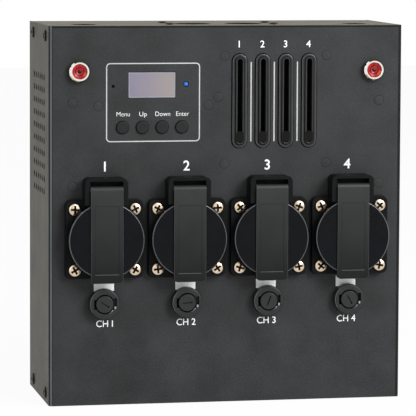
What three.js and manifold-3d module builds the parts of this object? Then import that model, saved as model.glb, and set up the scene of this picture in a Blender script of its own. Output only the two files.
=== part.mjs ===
// Four-channel stage dimmer pack in a folded steel case. Millimetres, +Z up.
// The front panel faces -Y. The origin is under the middle of the whole object.
import * as THREE from 'three';
import { mergeVertices } from 'three/addons/utils/BufferGeometryUtils.js';
import Module from 'manifold-3d';

// Case: a folded front cover over a folded rear chassis
const caseHeight = 238;
const caseDepth = 88;
const sideMargin = 9.4;
const coverSheet = 1.2;
const coverBend = 2.4;
const chassisSheet = 1.5;
const gap = 0.3;
const overrun = 1;
const weld = 0.2;

// Side flanges of the chassis and the eight case screws
const flangeDrop = 13;
const flangeSetback = 6;
const screwDrop = 6.5;
const screwFront = 15;
const screwRear = 70;
const screwShaft = 3.9;
const screwHead = 7.4;
const screwHeadHeight = 2.4;
const screwLength = 8;
const clinchNut = 8;
const clinchNutHeight = 2.5;

// Round vents in both sides of the cover
const ventDiameter = 3.2;
const ventColumns = 6;
const ventRows = 10;
const ventColumnPitch = 9;
const ventRowPitch = 8;
const ventDrop = 69;
const ventSetback = 44;

// Power outlets: four panel sockets with sprung lids
const channels = 4;
const socketDrop = 133;
const plateSize = 50;
const plateSpacing = 2.4;
const plateCorner = 4;
const plateThickness = 5;
const recessMargin = 5.2;
const recessDepth = 17.5;
const recessWall = 2;
const recessFloor = 3;
const contactSpacing = 19;
const contactHole = 5.4;
const terminalWidth = 30;
const terminalHeight = 20;
const terminalDepth = 20;
const earthWidth = 6;
const earthSheet = 1;
const earthInset = 4.3;
const earthSunk = 4;
const fixingInset = 6;
const fixingShaft = 3;
const fixingHead = 6.6;
const fixingHeadHeight = 1.6;
const rearFrameInset = 1;
const rearFrameThickness = 1.5;

// Hinge hood, lid, pin and its spring
const strapWidth = 20.3;
const strapThickness = 4;
const strapProud = 1.3;
const strapOverhang = 0.8;
const strapCorner = 2.5;
const lidInset = 1.25;
const lidThickness = 2.4;
const lidLift = 8;
const lidEdge = 0.6;
const skirtWall = 1.8;
const knuckleRise = 10.6;
const knuckleRadius = 4.3;
const pinDiameter = 3;
const pinEar = 1.8;
const springDiameter = 5.2;
const springLength = 6;
const cheekThickness = 3;
const cheekLap = 2.8;
const hoodRise = 14.5;
const hoodReach = 12.5;
const hoodRoof = 2;
const hoodCorner = 3.5;

// Fuse holders with a bayonet cap and a 5 x 20 glass fuse
const fuseSpacing = 15.8;
const bezelDiameter = 19.3;
const bezelHeight = 5.5;
const bezelEdge = 1.2;
const fuseBody = 15;
const fuseNut = 19;
const fuseNutHeight = 3;
const capDiameter = 11.3;
const capLength = 8.5;
const capSocketDepth = 5.5;
const capSlotLength = 5.7;
const capSlotWidth = 1;
const capSlotDepth = 1;
const capEdge = 0.5;
const capTurnDegrees = [-35, 5, 70, -60];
const fuseDiameter = 5.2;
const fuseLength = 20;
const fuseCapLength = 5;
const fuseGlass = 4.8;
const fuseEndWall = 2.5;
const notchReach = 1.6;
const notchHeight = 3;
const notchDepth = 2.4;
const tabWidth = 4.8;
const tabThickness = 0.8;
const tabLength = 8;

// Faders: one surround moulding, four levers, slide potentiometers on a board
const faderPitch = 14.9;
const faderOffset = 30.1;
const faderDrop = 47.4;
const faderTravel = 45;
const leverWidth = 2.6;
const leverHeight = 6.6;
const leverEnd = 0.6;
const leverSunk = 0.4;
const rimMargin = 3.3;
const rimHeight = 1.2;
const lipMargin = 1.6;
const lipHeight = 1;
const rimPlateMargin = 1.2;
const rimPlateThickness = 1.5;
const canWidth = 9;
const canLength = 62;
const canDepth = 7;
const canWall = 1;
const carriageWidth = 5.6;
const carriageHeight = 8;

// Circuit boards and the studs that carry them
const boardThickness = 1.6;
const studShoulder = 5.4;
const studThread = 2.8;
const studNut = 5.4;
const studNutHeight = 2;
const studTip = 0.6;
const studFoot = 3.4;
const faderStudOffset = 31.05;
const faderStudDrop = 53;
const faderStudWidth = 65.7;
const faderStudHeight = 67.8;
const earthStudOffset = 5.8;
const earthStudDrop = 44.8;
const earthStud = 4;
const earthStudLength = 7;

// Control board with its display, four push buttons, microphone and signal lamp
const controlInner = 8;
const controlHeight = 60;
const controlDrop = 50;
const controlStudInset = 4;
const displayShift = -1;
const displayDrop = 37.05;
const displayWidth = 30.2;
const displayHeight = 16.3;
const displaySunk = 0.4;
const moduleMargin = 2.4;
const moduleThickness = 2.6;
const headerWidth = 20;
const headerHeight = 3;
const buttonShift = -0.9;
const buttonPitch = 12.53;
const buttonDrop = 63.5;
const buttonDiameter = 8.2;
const buttonProud = 1.2;
const buttonEdge = 0.5;
const buttonCollar = 10.4;
const buttonCollarHeight = 0.8;
const buttonStem = 3.4;
const buttonStemLength = 0.4;
const switchSize = 6;
const switchHeight = 3.5;
const switchTip = 3.4;
const switchTipHeight = 0.8;
const ledShift = 20.6;
const ledDrop = 36.6;
const ledDiameter = 3;
const ledProud = 0.5;
const micShift = -25.6;
const micDrop = 37.7;
const micHole = 2;
const micCapsule = 6;

// Signal lamps at both sides of the panel
const lampInset = 18.85;
const lampClearance = 8.15;
const lampDrop = 28.3;
const lampRim = 13.3;
const lampHeight = 4;
const lampRimEdge = 0.8;
const lampBody = 9.4;
const lampBodyLength = 11;
const lampBore = 5.6;
const lampNut = 13;
const lampNutHeight = 2.2;
const lensDiameter = 9.6;
const lensSunk = 0.9;
const lensThickness = 2;
const lensFunnelDepth = 1.1;
const lensEyeDiameter = 2.4;

// Control sockets in the top wall, on their own board
const dmxPitch = 33;
const dmxSetback = 31.5;
const dmxDiameter = 23.4;
const dmxSunk = 0.5;
const dmxLength = 25;
const dmxRecess = 19.4;
const dmxRecessDepth = 17;
const dmxInsert = 15;
const dmxContact = 2.5;
const dmxPoles = 3;
const dmxContactLength = 14;
const dmxContactRadius = 4.2;
const dmxKeyWidth = 3;
const dmxBoardWidth = 76;
const dmxBoardDepth = 34;
const dmxScrewWidth = 67;
const dmxScrewDepth = 26;
const dmxScrewHead = 5.6;
const dmxScrewHeadHeight = 1.7;
const dmxSpacer = 6;

// Suspension points: clearance holes over welded nuts
const hangInset = 25.5;
const hangSetback = 23.5;
const hangHole = 16;
const hangNut = 22;
const hangNutHeight = 8;
const hangThread = 10.2;

// Mains inlet in a dished recess of the bottom wall
const inletInset = 43;
const inletSetback = 55;
const inletWidth = 27;
const inletDepth = 20;
const inletBody = 22;
const inletRim = 2.2;
const inletRimMargin = 2;
const inletCupWidth = 24;
const inletCupDepth = 17;
const inletCupHeight = 16;
const inletCupCorner = 2.5;
const inletBladeThickness = 2;
const inletBladeWidth = 4;
const inletBladeHeight = 14;
const inletBladeSpacing = 14;
const inletEarthShift = 4;
const dishDepth = 3;
const dishMargin = 6;

// Dimmer board and its heat sink
const dimmerSetback = 34;
const dimmerStudInset = 14.8;
const dimmerStudHeight = 52.5;
const dimmerStudDrop = 73.95;
const dimmerMargin = 3.8;
const chokeDiameter = 20;
const chokeHeight = 12;
const chokeInset = 15.2;
const chokeSpacing = 26;
const terminalStrip = 90;
const terminalStripHeight = 10;
const terminalStripDepth = 9;
const sinkClearance = 5;
const sinkHeight = 54;
const sinkBase = 4;
const sinkFins = 12;
const finThickness = 1.8;
const finHeight = 20;

// Sides of round forms, by how large they are
const largeSides = 24;
const mediumSides = 16;
const smallSides = 8;
const tinySides = 6;
const ventSides = 4;
const cornerSteps = 1;

// The row of sockets gives the width of the case, and the sides place what lies near them
const socketPitch = plateSize + plateSpacing;
const caseWidth = socketPitch * channels - plateSpacing + sideMargin * 2;
const halfWidth = caseWidth / 2;
const chassisHalf = halfWidth - coverSheet - gap;
const panelBack = coverSheet;
const plateFront = -gap - plateThickness;
const lidFront = plateFront - lidLift;
const strapFront = lidFront - strapProud;
const plateHalf = plateSize / 2;
const recessDiameter = plateSize - recessMargin * 2;
const earthSpread = recessDiameter - earthInset * 2;
const fixingSpacing = plateSize - fixingInset * 2;
const rearFrame = plateSize - rearFrameInset * 2;
const lidDiameter = plateSize - lidInset * 2;
const skirtDiameter = recessDiameter + recessWall * 2;
const strapFoot = plateHalf + strapOverhang;
const knuckleTop = plateHalf + knuckleRise;
const cheekFoot = plateHalf - cheekLap;
const hoodTop = plateHalf + hoodRise;
const fuseDrop = socketDrop + plateHalf + fuseSpacing;
const hingeY = strapFront + knuckleRadius;
const hingeZ = knuckleTop - knuckleRadius;
const socketZ = caseHeight - socketDrop;
const fuseZ = caseHeight - fuseDrop;
const faderZ = caseHeight - faderDrop;
const slotLength = faderTravel + leverHeight + leverEnd * 2;
const slotWidth = leverWidth + gap * 2;
const canFront = panelBack + gap + rimPlateThickness + gap;
const faderBoardFront = canFront + canDepth;
const controlBoardFront =
  panelBack + gap + buttonCollarHeight + buttonStemLength + gap + switchTipHeight + switchHeight;
const topInside = caseHeight - chassisSheet;
const lampOffset = halfWidth - lampInset;
const controlWidth = lampOffset - lampClearance - controlInner;
const controlOffset = -controlInner - controlWidth / 2;
const controlStudSpacing = controlWidth - controlStudInset * 2;
const displayOffset = controlOffset + displayShift;
const buttonOffset = controlOffset + buttonShift;
const ledOffset = controlOffset + ledShift;
const micOffset = controlOffset + micShift;
const hangOffset = halfWidth - hangInset;
const inletOffset = halfWidth - inletInset;
const dimmerStudWidth = caseWidth - dimmerStudInset * 2;
const chokeOffset = dimmerStudWidth / 2 - chokeInset;
const sinkWidth = (chokeOffset - chokeDiameter / 2 - sinkClearance) * 2;

const wasm = await Module();
wasm.setup();

// A closed three.js geometry as a solid that can be joined and cut
function solidOf(geometry) {
  const bare = geometry.clone();
  bare.deleteAttribute('normal');
  bare.deleteAttribute('uv');
  const merged = mergeVertices(bare);
  const vertProperties = Float32Array.from(merged.attributes.position.array);
  const triVerts = Uint32Array.from(merged.index.array);
  return new wasm.Manifold(new wasm.Mesh({ numProp: 3, vertProperties, triVerts }));
}

function geometryOf(solid) {
  const mesh = solid.getMesh();
  const indexed = new THREE.BufferGeometry();
  indexed.setAttribute('position', new THREE.BufferAttribute(mesh.vertProperties, 3));
  indexed.setIndex(new THREE.BufferAttribute(mesh.triVerts, 1));
  const flat = indexed.toNonIndexed();
  flat.computeVertexNormals();
  return flat;
}

// Where an outline's own x and y and its thickness point, for each way of extruding it
const X = new THREE.Vector3(1, 0, 0);
const Y = new THREE.Vector3(0, 1, 0);
const Z = new THREE.Vector3(0, 0, 1);
const frames = {
  x: new THREE.Matrix4().makeBasis(Y, Z, X),
  y: new THREE.Matrix4().makeBasis(X, Z, Y.clone().negate()),
  z: new THREE.Matrix4().makeBasis(X, Y, Z),
};

// An outline extruded along an axis from start to end, its own origin at across and up
function prism(outline, axis, start, end, across = 0, up = 0, steps = cornerSteps) {
  const depth = end - start;
  const geometry = new THREE.ExtrudeGeometry(outline, { depth, bevelEnabled: false, curveSegments: steps });
  geometry.applyMatrix4(frames[axis]);
  if (axis === 'x') geometry.translate(start, across, up);
  if (axis === 'y') geometry.translate(across, end, up);
  if (axis === 'z') geometry.translate(across, up, start);
  return solidOf(geometry);
}

function circle(diameter) {
  return new THREE.Shape().absarc(0, 0, diameter / 2, 0, Math.PI * 2);
}

function rod(diameter, axis, start, end, across = 0, up = 0, facets = tinySides) {
  return prism(circle(diameter), axis, start, end, across, up, facets / 2);
}

function block(x0, x1, y0, y1, z0, z1) {
  const geometry = new THREE.BoxGeometry(x1 - x0, y1 - y0, z1 - z0);
  geometry.translate((x0 + x1) / 2, (y0 + y1) / 2, (z0 + z1) / 2);
  return solidOf(geometry);
}

// A rectangle with rounded corners; foot is the radius of the lower two
function plate(width, height, corner, foot = corner) {
  const shape = new THREE.Shape();
  const right = width / 2;
  const top = height / 2;
  shape.moveTo(-right + foot, -top);
  shape.lineTo(right - foot, -top);
  if (foot > 0) shape.absarc(right - foot, -top + foot, foot, -Math.PI / 2, 0);
  shape.lineTo(right, top - corner);
  if (corner > 0) shape.absarc(right - corner, top - corner, corner, 0, Math.PI / 2);
  shape.lineTo(-right + corner, top);
  if (corner > 0) shape.absarc(-right + corner, top - corner, corner, Math.PI / 2, Math.PI);
  shape.lineTo(-right, -top + foot);
  if (foot > 0) shape.absarc(-right + foot, -top + foot, foot, Math.PI, Math.PI * 1.5);
  return shape;
}

// A slot with round ends, longer way up
function pill(width, length) {
  return plate(width, length, width / 2);
}

function hexagon(flats) {
  const radius = flats / 2 / Math.cos(Math.PI / 6);
  const corners = Array.from({ length: 6 }, (_, i) => {
    const angle = (i * Math.PI) / 3;
    return new THREE.Vector2(radius * Math.cos(angle), radius * Math.sin(angle));
  });
  return new THREE.Shape(corners);
}

// A profile of [radius, height] pairs turned about Y, or about Z when upright
function turned(profile, facets = mediumSides, upright = false) {
  const points = profile.map(([radius, height]) => new THREE.Vector2(radius, height));
  const geometry = new THREE.LatheGeometry(points, facets);
  if (upright) geometry.rotateX(Math.PI / 2);
  return solidOf(geometry);
}

function join(parts) {
  return parts.reduce((sum, part) => sum.add(part));
}

function cut(body, cutters) {
  return body.subtract(join(cutters));
}

const model = new THREE.Group();

function place(name, geometry, finish, parent = model) {
  const mesh = new THREE.Mesh(geometry, new THREE.MeshStandardMaterial(finish));
  mesh.name = name;
  parent.add(mesh);
  return mesh;
}

const paintedSteel = { color: '#45474a', roughness: 0.55, metalness: 0.1 };
const mouldedPlastic = { color: '#26272a', roughness: 0.5, metalness: 0 };
const glossyPlastic = { color: '#1f2023', roughness: 0.3, metalness: 0 };
const platedScrew = { color: '#c9b9a4', roughness: 0.35, metalness: 1 };
const blackScrew = { color: '#4a453f', roughness: 0.4, metalness: 0.8 };
const springSteel = { color: '#b8babd', roughness: 0.3, metalness: 1 };
const fuseMetal = { color: '#d5d2c8', roughness: 0.3, metalness: 0.7 };
const boardGreen = { color: '#1f5a37', roughness: 0.6, metalness: 0 };
const displayGlass = { color: '#8f93a8', roughness: 0.2, metalness: 0 };
const chrome = { color: '#e6e3da', roughness: 0.15, metalness: 1 };
const redLens = { color: '#c01820', roughness: 0.15, metalness: 0 };
const rawAluminium = { color: '#b4b6b8', roughness: 0.4, metalness: 1 };

const sides = [-1, 1];
const corners = [[-1, -1], [1, -1], [-1, 1], [1, 1]];
const channelPlaces = Array.from({ length: channels }, (_, i) => i - (channels - 1) / 2);
const lampZ = caseHeight - lampDrop;

// A stud pressed into the front sheet: shoulder, threaded pin and the nut behind the board
function stud(x, z, boardFront) {
  const shoulderEnd = boardFront - gap;
  const nutStart = boardFront + boardThickness + gap;
  const nutEnd = nutStart + studNutHeight;
  return join([
    rod(studShoulder, 'y', panelBack - weld, shoulderEnd, x, z),
    rod(studThread, 'y', shoulderEnd - weld, nutEnd + studTip, x, z),
    prism(hexagon(studNut), 'y', nutStart, nutEnd, x, z),
  ]);
}

function studHoles(places, boardFront) {
  const size = studThread + gap * 2;
  const end = boardFront + boardThickness + overrun;
  return places.map(([x, z]) => rod(size, 'y', boardFront - overrun, end, x, z));
}

const faderStuds = corners.map(([a, b]) => [
  faderStudOffset + (a * faderStudWidth) / 2,
  caseHeight - faderStudDrop + (b * faderStudHeight) / 2,
]);
const controlStuds = sides.map((a) => [
  controlOffset + (a * controlStudSpacing) / 2,
  caseHeight - controlDrop,
]);
const dimmerStuds = corners.map(([a, b]) => [
  (a * dimmerStudWidth) / 2,
  caseHeight - dimmerStudDrop + (b * dimmerStudHeight) / 2,
]);

// Front cover: front panel and both sides folded from one sheet
function coverOutline() {
  const inner = coverBend - coverSheet;
  const shape = new THREE.Shape();
  shape.moveTo(-halfWidth, caseDepth);
  shape.lineTo(-halfWidth, coverBend);
  shape.absarc(-halfWidth + coverBend, coverBend, coverBend, Math.PI, Math.PI * 1.5);
  shape.lineTo(halfWidth - coverBend, 0);
  shape.absarc(halfWidth - coverBend, coverBend, coverBend, -Math.PI / 2, 0);
  shape.lineTo(halfWidth, caseDepth);
  shape.lineTo(halfWidth - coverSheet, caseDepth);
  shape.lineTo(halfWidth - coverSheet, coverBend);
  shape.absarc(halfWidth - coverBend, coverBend, inner, 0, -Math.PI / 2, true);
  shape.lineTo(-halfWidth + coverBend, coverSheet);
  shape.absarc(-halfWidth + coverBend, coverBend, inner, Math.PI * 1.5, Math.PI, true);
  shape.lineTo(-halfWidth + coverSheet, caseDepth);
  return shape;
}

function panelHole(outline, x, z) {
  return prism(outline, 'y', -overrun, coverSheet + overrun, x, z);
}

function roundPanelHole(diameter, x, z, facets = tinySides) {
  return rod(diameter, 'y', -overrun, coverSheet + overrun, x, z, facets);
}

function coverVents() {
  const holes = [];
  for (let column = 0; column < ventColumns; column += 1) {
    for (let row = 0; row < ventRows; row += 1) {
      const y = ventSetback + (column - (ventColumns - 1) / 2) * ventColumnPitch;
      const z = caseHeight - ventDrop + (row - (ventRows - 1) / 2) * ventRowPitch;
      for (const side of sides) {
        const middle = side * (halfWidth - coverSheet / 2);
        const reach = coverSheet / 2 + overrun;
        holes.push(rod(ventDiameter, 'x', middle - reach, middle + reach, y, z, ventSides));
      }
    }
  }
  return holes;
}

const casePoints = corners.map(([a, b]) => [
  a < 0 ? screwFront : screwRear,
  b < 0 ? screwDrop : caseHeight - screwDrop,
]);

function sideScrewHoles(diameter, from, to) {
  return sides.flatMap((side) =>
    casePoints.map(([y, z]) => {
      const ends = [side * from, side * to].sort((a, b) => a - b);
      return rod(diameter, 'x', ends[0], ends[1], y, z);
    }),
  );
}

function makeCover() {
  const sheet = prism(coverOutline(), 'z', 0, caseHeight);
  const studs = [
    ...faderStuds.map(([x, z]) => stud(x, z, faderBoardFront)),
    ...controlStuds.map(([x, z]) => stud(x, z, controlBoardFront)),
    ...dimmerStuds.map(([x, z]) => stud(x, z, dimmerSetback)),
    rod(earthStud, 'y', panelBack - weld, panelBack + earthStudLength,
      -earthStudOffset, caseHeight - earthStudDrop),
  ];
  const slot = pill(slotWidth + rimMargin * 2 + gap * 2, slotLength + rimMargin * 2 + gap * 2);
  const body = recessDiameter + recessWall * 2;
  const holes = [
    ...sideScrewHoles(screwShaft + gap * 2, halfWidth - coverSheet - overrun, halfWidth + overrun),
    ...channelPlaces.map((k) => roundPanelHole(body + gap * 2, k * socketPitch, socketZ, largeSides)),
    ...channelPlaces.flatMap((k) =>
      corners.map(([a, b]) =>
        roundPanelHole(
          fixingShaft + gap * 2,
          k * socketPitch + (a * fixingSpacing) / 2,
          socketZ + (b * fixingSpacing) / 2,
        ),
      ),
    ),
    ...channelPlaces.map((k) => roundPanelHole(fuseBody + gap * 2, k * socketPitch, fuseZ, mediumSides)),
    ...channelPlaces.map((k) => panelHole(slot, faderOffset + k * faderPitch, faderZ)),
    ...channelPlaces.map((k) =>
      roundPanelHole(
        buttonDiameter + gap * 2,
        buttonOffset + k * buttonPitch,
        caseHeight - buttonDrop,
        mediumSides,
      ),
    ),
    panelHole(plate(displayWidth, displayHeight, 0), displayOffset, caseHeight - displayDrop),
    roundPanelHole(ledDiameter + gap * 2, ledOffset, caseHeight - ledDrop, smallSides),
    roundPanelHole(micHole, micOffset, caseHeight - micDrop),
    ...sides.map((a) => roundPanelHole(lampBody + gap * 2, a * lampOffset, lampZ, mediumSides)),
  ];
  return cut(join([sheet, ...studs]), [...holes, ...coverVents()]);
}

place('front_cover', geometryOf(makeCover()), paintedSteel);

// Chassis: back, top and bottom folded from one sheet, with side flanges for the case screws.
// The front corners of the two walls are cut off to clear the bends of the cover.
function chassisWall(zLow, zHigh, flangeLow, flangeHigh) {
  const front = panelBack + gap;
  const shape = new THREE.Shape();
  shape.moveTo(-chassisHalf, caseDepth);
  shape.lineTo(-chassisHalf, front + coverBend);
  shape.lineTo(-chassisHalf + coverBend, front);
  shape.lineTo(chassisHalf - coverBend, front);
  shape.lineTo(chassisHalf, front + coverBend);
  shape.lineTo(chassisHalf, caseDepth);
  const wall = prism(shape, 'z', zLow, zHigh);
  const flanges = sides.map((a) => {
    const inner = a * (chassisHalf - chassisSheet);
    const outer = a * chassisHalf;
    return block(
      Math.min(inner, outer),
      Math.max(inner, outer),
      flangeSetback,
      caseDepth - flangeSetback,
      flangeLow,
      flangeHigh,
    );
  });
  return join([wall, ...flanges]);
}

function makeChassis() {
  const back = block(-chassisHalf, chassisHalf, caseDepth - chassisSheet, caseDepth, 0, caseHeight);
  const top = chassisWall(topInside, caseHeight, caseHeight - flangeDrop, caseHeight);
  const bottom = chassisWall(0, chassisSheet, 0, flangeDrop);
  const nutInner = chassisHalf - chassisSheet - clinchNutHeight;
  const nuts = sideScrewHoles(clinchNut, nutInner, chassisHalf - chassisSheet + weld);
  const hangNuts = sides.map((a) =>
    rod(hangNut, 'z', topInside - hangNutHeight, topInside + weld, a * hangOffset, hangSetback),
  );
  const dishWidth = inletWidth + (inletRimMargin + dishMargin) * 2;
  const dishLength = inletDepth + (inletRimMargin + dishMargin) * 2;
  const dish = block(
    inletOffset - dishWidth / 2,
    inletOffset + dishWidth / 2,
    inletSetback - dishLength / 2,
    inletSetback + dishLength / 2,
    chassisSheet - weld,
    dishDepth + chassisSheet,
  );
  const holes = [
    ...sideScrewHoles(screwShaft + gap * 2, nutInner - overrun, chassisHalf + overrun),
    ...sides.map((a) =>
      rod(dmxDiameter + gap * 2, 'z', topInside - overrun, caseHeight + overrun,
        (a * dmxPitch) / 2, dmxSetback, mediumSides),
    ),
    ...corners.map(([a, b]) =>
      rod(studThread + gap * 2, 'z', topInside - overrun, caseHeight + overrun,
        (a * dmxScrewWidth) / 2, dmxSetback + (b * dmxScrewDepth) / 2),
    ),
    ...sides.map((a) =>
      rod(hangHole, 'z', topInside, caseHeight + overrun, a * hangOffset, hangSetback, mediumSides),
    ),
    ...sides.map((a) =>
      rod(hangThread, 'z', topInside - hangNutHeight - overrun, caseHeight, a * hangOffset, hangSetback,
        mediumSides),
    ),
    block(
      inletOffset - dishWidth / 2 + chassisSheet,
      inletOffset + dishWidth / 2 - chassisSheet,
      inletSetback - dishLength / 2 + chassisSheet,
      inletSetback + dishLength / 2 - chassisSheet,
      -overrun,
      dishDepth,
    ),
    block(
      inletOffset - inletWidth / 2 - gap,
      inletOffset + inletWidth / 2 + gap,
      inletSetback - inletDepth / 2 - gap,
      inletSetback + inletDepth / 2 + gap,
      0,
      dishDepth + chassisSheet + overrun,
    ),
  ];
  return cut(join([back, top, bottom, dish, ...nuts, ...hangNuts]), holes);
}

place('chassis', geometryOf(makeChassis()), paintedSteel);

// Case screws: pan head outside the cover, shaft in the clinch nut, modelled along +X
const caseScrew = geometryOf(
  join([
    rod(screwHead, 'x', gap, gap + screwHeadHeight, 0, 0, smallSides),
    rod(screwShaft, 'x', gap - screwLength, gap + weld),
  ]),
);
for (const side of sides) {
  casePoints.forEach(([y, z], i) => {
    const number = (side < 0 ? 0 : casePoints.length) + i + 1;
    const screw = place(`cover_screw_${number}`, caseScrew, blackScrew);
    screw.position.set(side * halfWidth, y, z);
    screw.rotation.z = side < 0 ? Math.PI : 0;
  });
}

// Socket housing: mounting plate, recess with its two earth leaves, contact block and hinge hood
function makeHousing() {
  const body = recessDiameter + recessWall * 2;
  const floorFront = plateFront + recessDepth;
  const floorBack = floorFront + recessFloor;
  const hoodWidth = strapWidth + (gap + cheekThickness) * 2;
  const hoodHeight = hoodTop - cheekFoot;
  const hoodMiddle = (hoodTop + cheekFoot) / 2;
  const hoodFront = -gap - hoodReach;
  const outside = join([
    prism(plate(plateSize, plateSize, plateCorner), 'y', plateFront, -gap),
    rod(body, 'y', -gap - weld, floorBack, 0, 0, largeSides),
    block(
      -terminalWidth / 2,
      terminalWidth / 2,
      floorBack - weld,
      floorBack + terminalDepth,
      -terminalHeight / 2,
      terminalHeight / 2,
    ),
    prism(plate(hoodWidth, hoodHeight, hoodCorner, 0), 'y', hoodFront, -gap - weld, 0, hoodMiddle),
  ]);
  const earEnd = strapWidth / 2 + gap + pinEar + gap;
  const leaves = sides.map((a) => {
    const inner = (a * earthSpread) / 2;
    const outer = inner + a * earthSheet;
    return block(-earthWidth / 2, earthWidth / 2, plateFront + earthSunk, floorFront + weld,
      Math.min(inner, outer), Math.max(inner, outer));
  });
  const hollowed = cut(outside, [
    rod(recessDiameter, 'y', plateFront - overrun, floorFront, 0, 0, largeSides),
    block(
      -strapWidth / 2 - gap,
      strapWidth / 2 + gap,
      hoodFront - overrun,
      plateFront,
      cheekFoot - overrun,
      hoodTop - hoodRoof,
    ),
    rod(pinDiameter + gap * 2, 'x', -earEnd, earEnd, hingeY, hingeZ),
    ...sides.map((a) =>
      rod(contactHole, 'y', floorFront - overrun, floorBack + terminalDepth - recessWall,
        (a * contactSpacing) / 2, 0),
    ),
    ...corners.map(([a, b]) =>
      rod(fixingShaft + gap * 2, 'y', plateFront - overrun, overrun,
        (a * fixingSpacing) / 2, (b * fixingSpacing) / 2),
    ),
  ]);
  return join([hollowed, ...leaves]);
}

// Lid: round cap with a skirt, a strap down its middle and a hinge knuckle on the strap's end
function makeLid() {
  const lidRadius = lidDiameter / 2;
  const lidBack = lidFront + lidThickness;
  const skirtEnd = plateFront - gap;
  const skirtRadius = skirtDiameter / 2;
  const disc = turned(
    [
      [0, lidBack],
      [skirtRadius - skirtWall, lidBack],
      [skirtRadius - skirtWall, skirtEnd],
      [skirtRadius, skirtEnd],
      [skirtRadius, lidBack],
      [lidRadius, lidBack],
      [lidRadius, lidFront + lidEdge],
      [lidRadius - lidEdge, lidFront],
      [0, lidFront],
    ].reverse(),
    largeSides,
  );
  const strapHeight = hingeZ + strapFoot;
  const strapMiddle = (hingeZ - strapFoot) / 2;
  const strap = prism(
    plate(strapWidth, strapHeight, weld, strapCorner),
    'y',
    strapFront,
    strapFront + strapThickness,
    0,
    strapMiddle,
  );
  const halfStrap = strapWidth / 2;
  const knuckle = rod(knuckleRadius * 2, 'x', -halfStrap, halfStrap, hingeY, hingeZ, mediumSides);
  const spring = springLength / 2 + gap;
  const springRoom = springDiameter / 2 + gap;
  return cut(join([disc, strap, knuckle]), [
    rod(pinDiameter + gap * 2, 'x', -halfStrap - overrun, halfStrap + overrun, hingeY, hingeZ),
    block(
      -spring,
      spring,
      hingeY - springRoom,
      hingeY + knuckleRadius + overrun,
      hingeZ - springRoom,
      hingeZ + springRoom,
    ),
  ]);
}

function makeHingePin() {
  const reach = strapWidth / 2 + gap + pinEar;
  return join([
    rod(pinDiameter, 'x', -reach, reach, hingeY, hingeZ),
    rod(springDiameter, 'x', -springLength / 2, springLength / 2, hingeY, hingeZ),
  ]);
}

// Four fixing screws with the square frame that they draw up behind the panel
function makeFixings() {
  const frameFront = panelBack + gap;
  const frameBack = frameFront + rearFrameThickness;
  const headBack = plateFront - gap;
  const opening = recessDiameter + (recessWall + gap) * 2;
  const frame = cut(prism(plate(rearFrame, rearFrame, 0), 'y', frameFront, frameBack), [
    rod(opening, 'y', frameFront - overrun, frameBack + overrun, 0, 0, largeSides),
  ]);
  const screws = corners.flatMap(([a, b]) => {
    const x = (a * fixingSpacing) / 2;
    const z = (b * fixingSpacing) / 2;
    return [
      rod(fixingHead, 'y', headBack - fixingHeadHeight, headBack, x, z, smallSides),
      rod(fixingShaft, 'y', headBack - weld, frameBack + studTip, x, z),
    ];
  });
  return join([frame, ...screws]);
}

const housing = geometryOf(makeHousing());
const lid = geometryOf(makeLid());
const hingePin = geometryOf(makeHingePin());
const fixings = geometryOf(makeFixings());
channelPlaces.forEach((k, i) => {
  const socket = new THREE.Group();
  socket.position.set(k * socketPitch, 0, socketZ);
  model.add(socket);
  place(`socket_housing_${i + 1}`, housing, mouldedPlastic, socket);
  place(`socket_lid_${i + 1}`, lid, glossyPlastic, socket);
  place(`lid_pin_${i + 1}`, hingePin, springSteel, socket);
  place(`socket_fixings_${i + 1}`, fixings, platedScrew, socket);
});

// Fuse holder: bezel, threaded body with its nut, bayonet notches and two solder tabs
const bezelFront = -gap - bezelHeight;
const capBore = capDiameter + gap * 2;
const capBack = bezelFront + capLength;
const fuseFront = capBack - capSocketDepth + gap;
const fuseBack = fuseFront + fuseLength;

function makeFuseHolder() {
  const bodyEnd = fuseBack + gap + fuseEndWall;
  const narrow = fuseDiameter + gap * 4;
  const nutFront = panelBack + gap;
  const bodyRadius = fuseBody / 2;
  const bezelRadius = bezelDiameter / 2;
  const shell = turned(
    [
      [0, bodyEnd],
      [bodyRadius, bodyEnd],
      [bodyRadius, -gap],
      [bezelRadius, -gap],
      [bezelRadius, bezelFront + bezelEdge],
      [bezelRadius - bezelEdge, bezelFront],
      [0, bezelFront],
    ].reverse(),
    mediumSides,
  );
  const bore = turned(
    [
      [0, fuseBack + gap],
      [narrow / 2, fuseBack + gap],
      [narrow / 2, capBack + gap],
      [capBore / 2, capBack + gap],
      [capBore / 2, bezelFront - overrun],
      [0, bezelFront - overrun],
    ].reverse(),
    mediumSides,
  );
  const nut = prism(hexagon(fuseNut), 'y', nutFront, nutFront + fuseNutHeight);
  const notchEnd = capBore / 2 + notchReach;
  const notch = block(
    -notchEnd,
    notchEnd,
    bezelFront - overrun,
    bezelFront + notchDepth,
    -notchHeight / 2,
    notchHeight / 2,
  );
  const tabs = sides.map((a) => {
    const middle = (a * fuseBody) / 4;
    return block(
      middle - tabWidth / 2,
      middle + tabWidth / 2,
      bodyEnd - weld,
      bodyEnd + tabLength,
      -tabThickness / 2,
      tabThickness / 2,
    );
  });
  return cut(join([shell, nut, ...tabs]), [bore, notch]);
}

function makeFuseCap() {
  const radius = capDiameter / 2;
  const seat = fuseDiameter / 2 + gap;
  const body = turned(
    [
      [0, capBack - capSocketDepth],
      [seat, capBack - capSocketDepth],
      [seat, capBack],
      [radius, capBack],
      [radius, bezelFront + capEdge],
      [radius - capEdge, bezelFront],
      [0, bezelFront],
    ].reverse(),
    mediumSides,
  );
  const slot = block(
    -capSlotLength / 2,
    capSlotLength / 2,
    bezelFront - overrun,
    bezelFront + capSlotDepth,
    -capSlotWidth / 2,
    capSlotWidth / 2,
  );
  return cut(body, [slot]);
}

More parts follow.
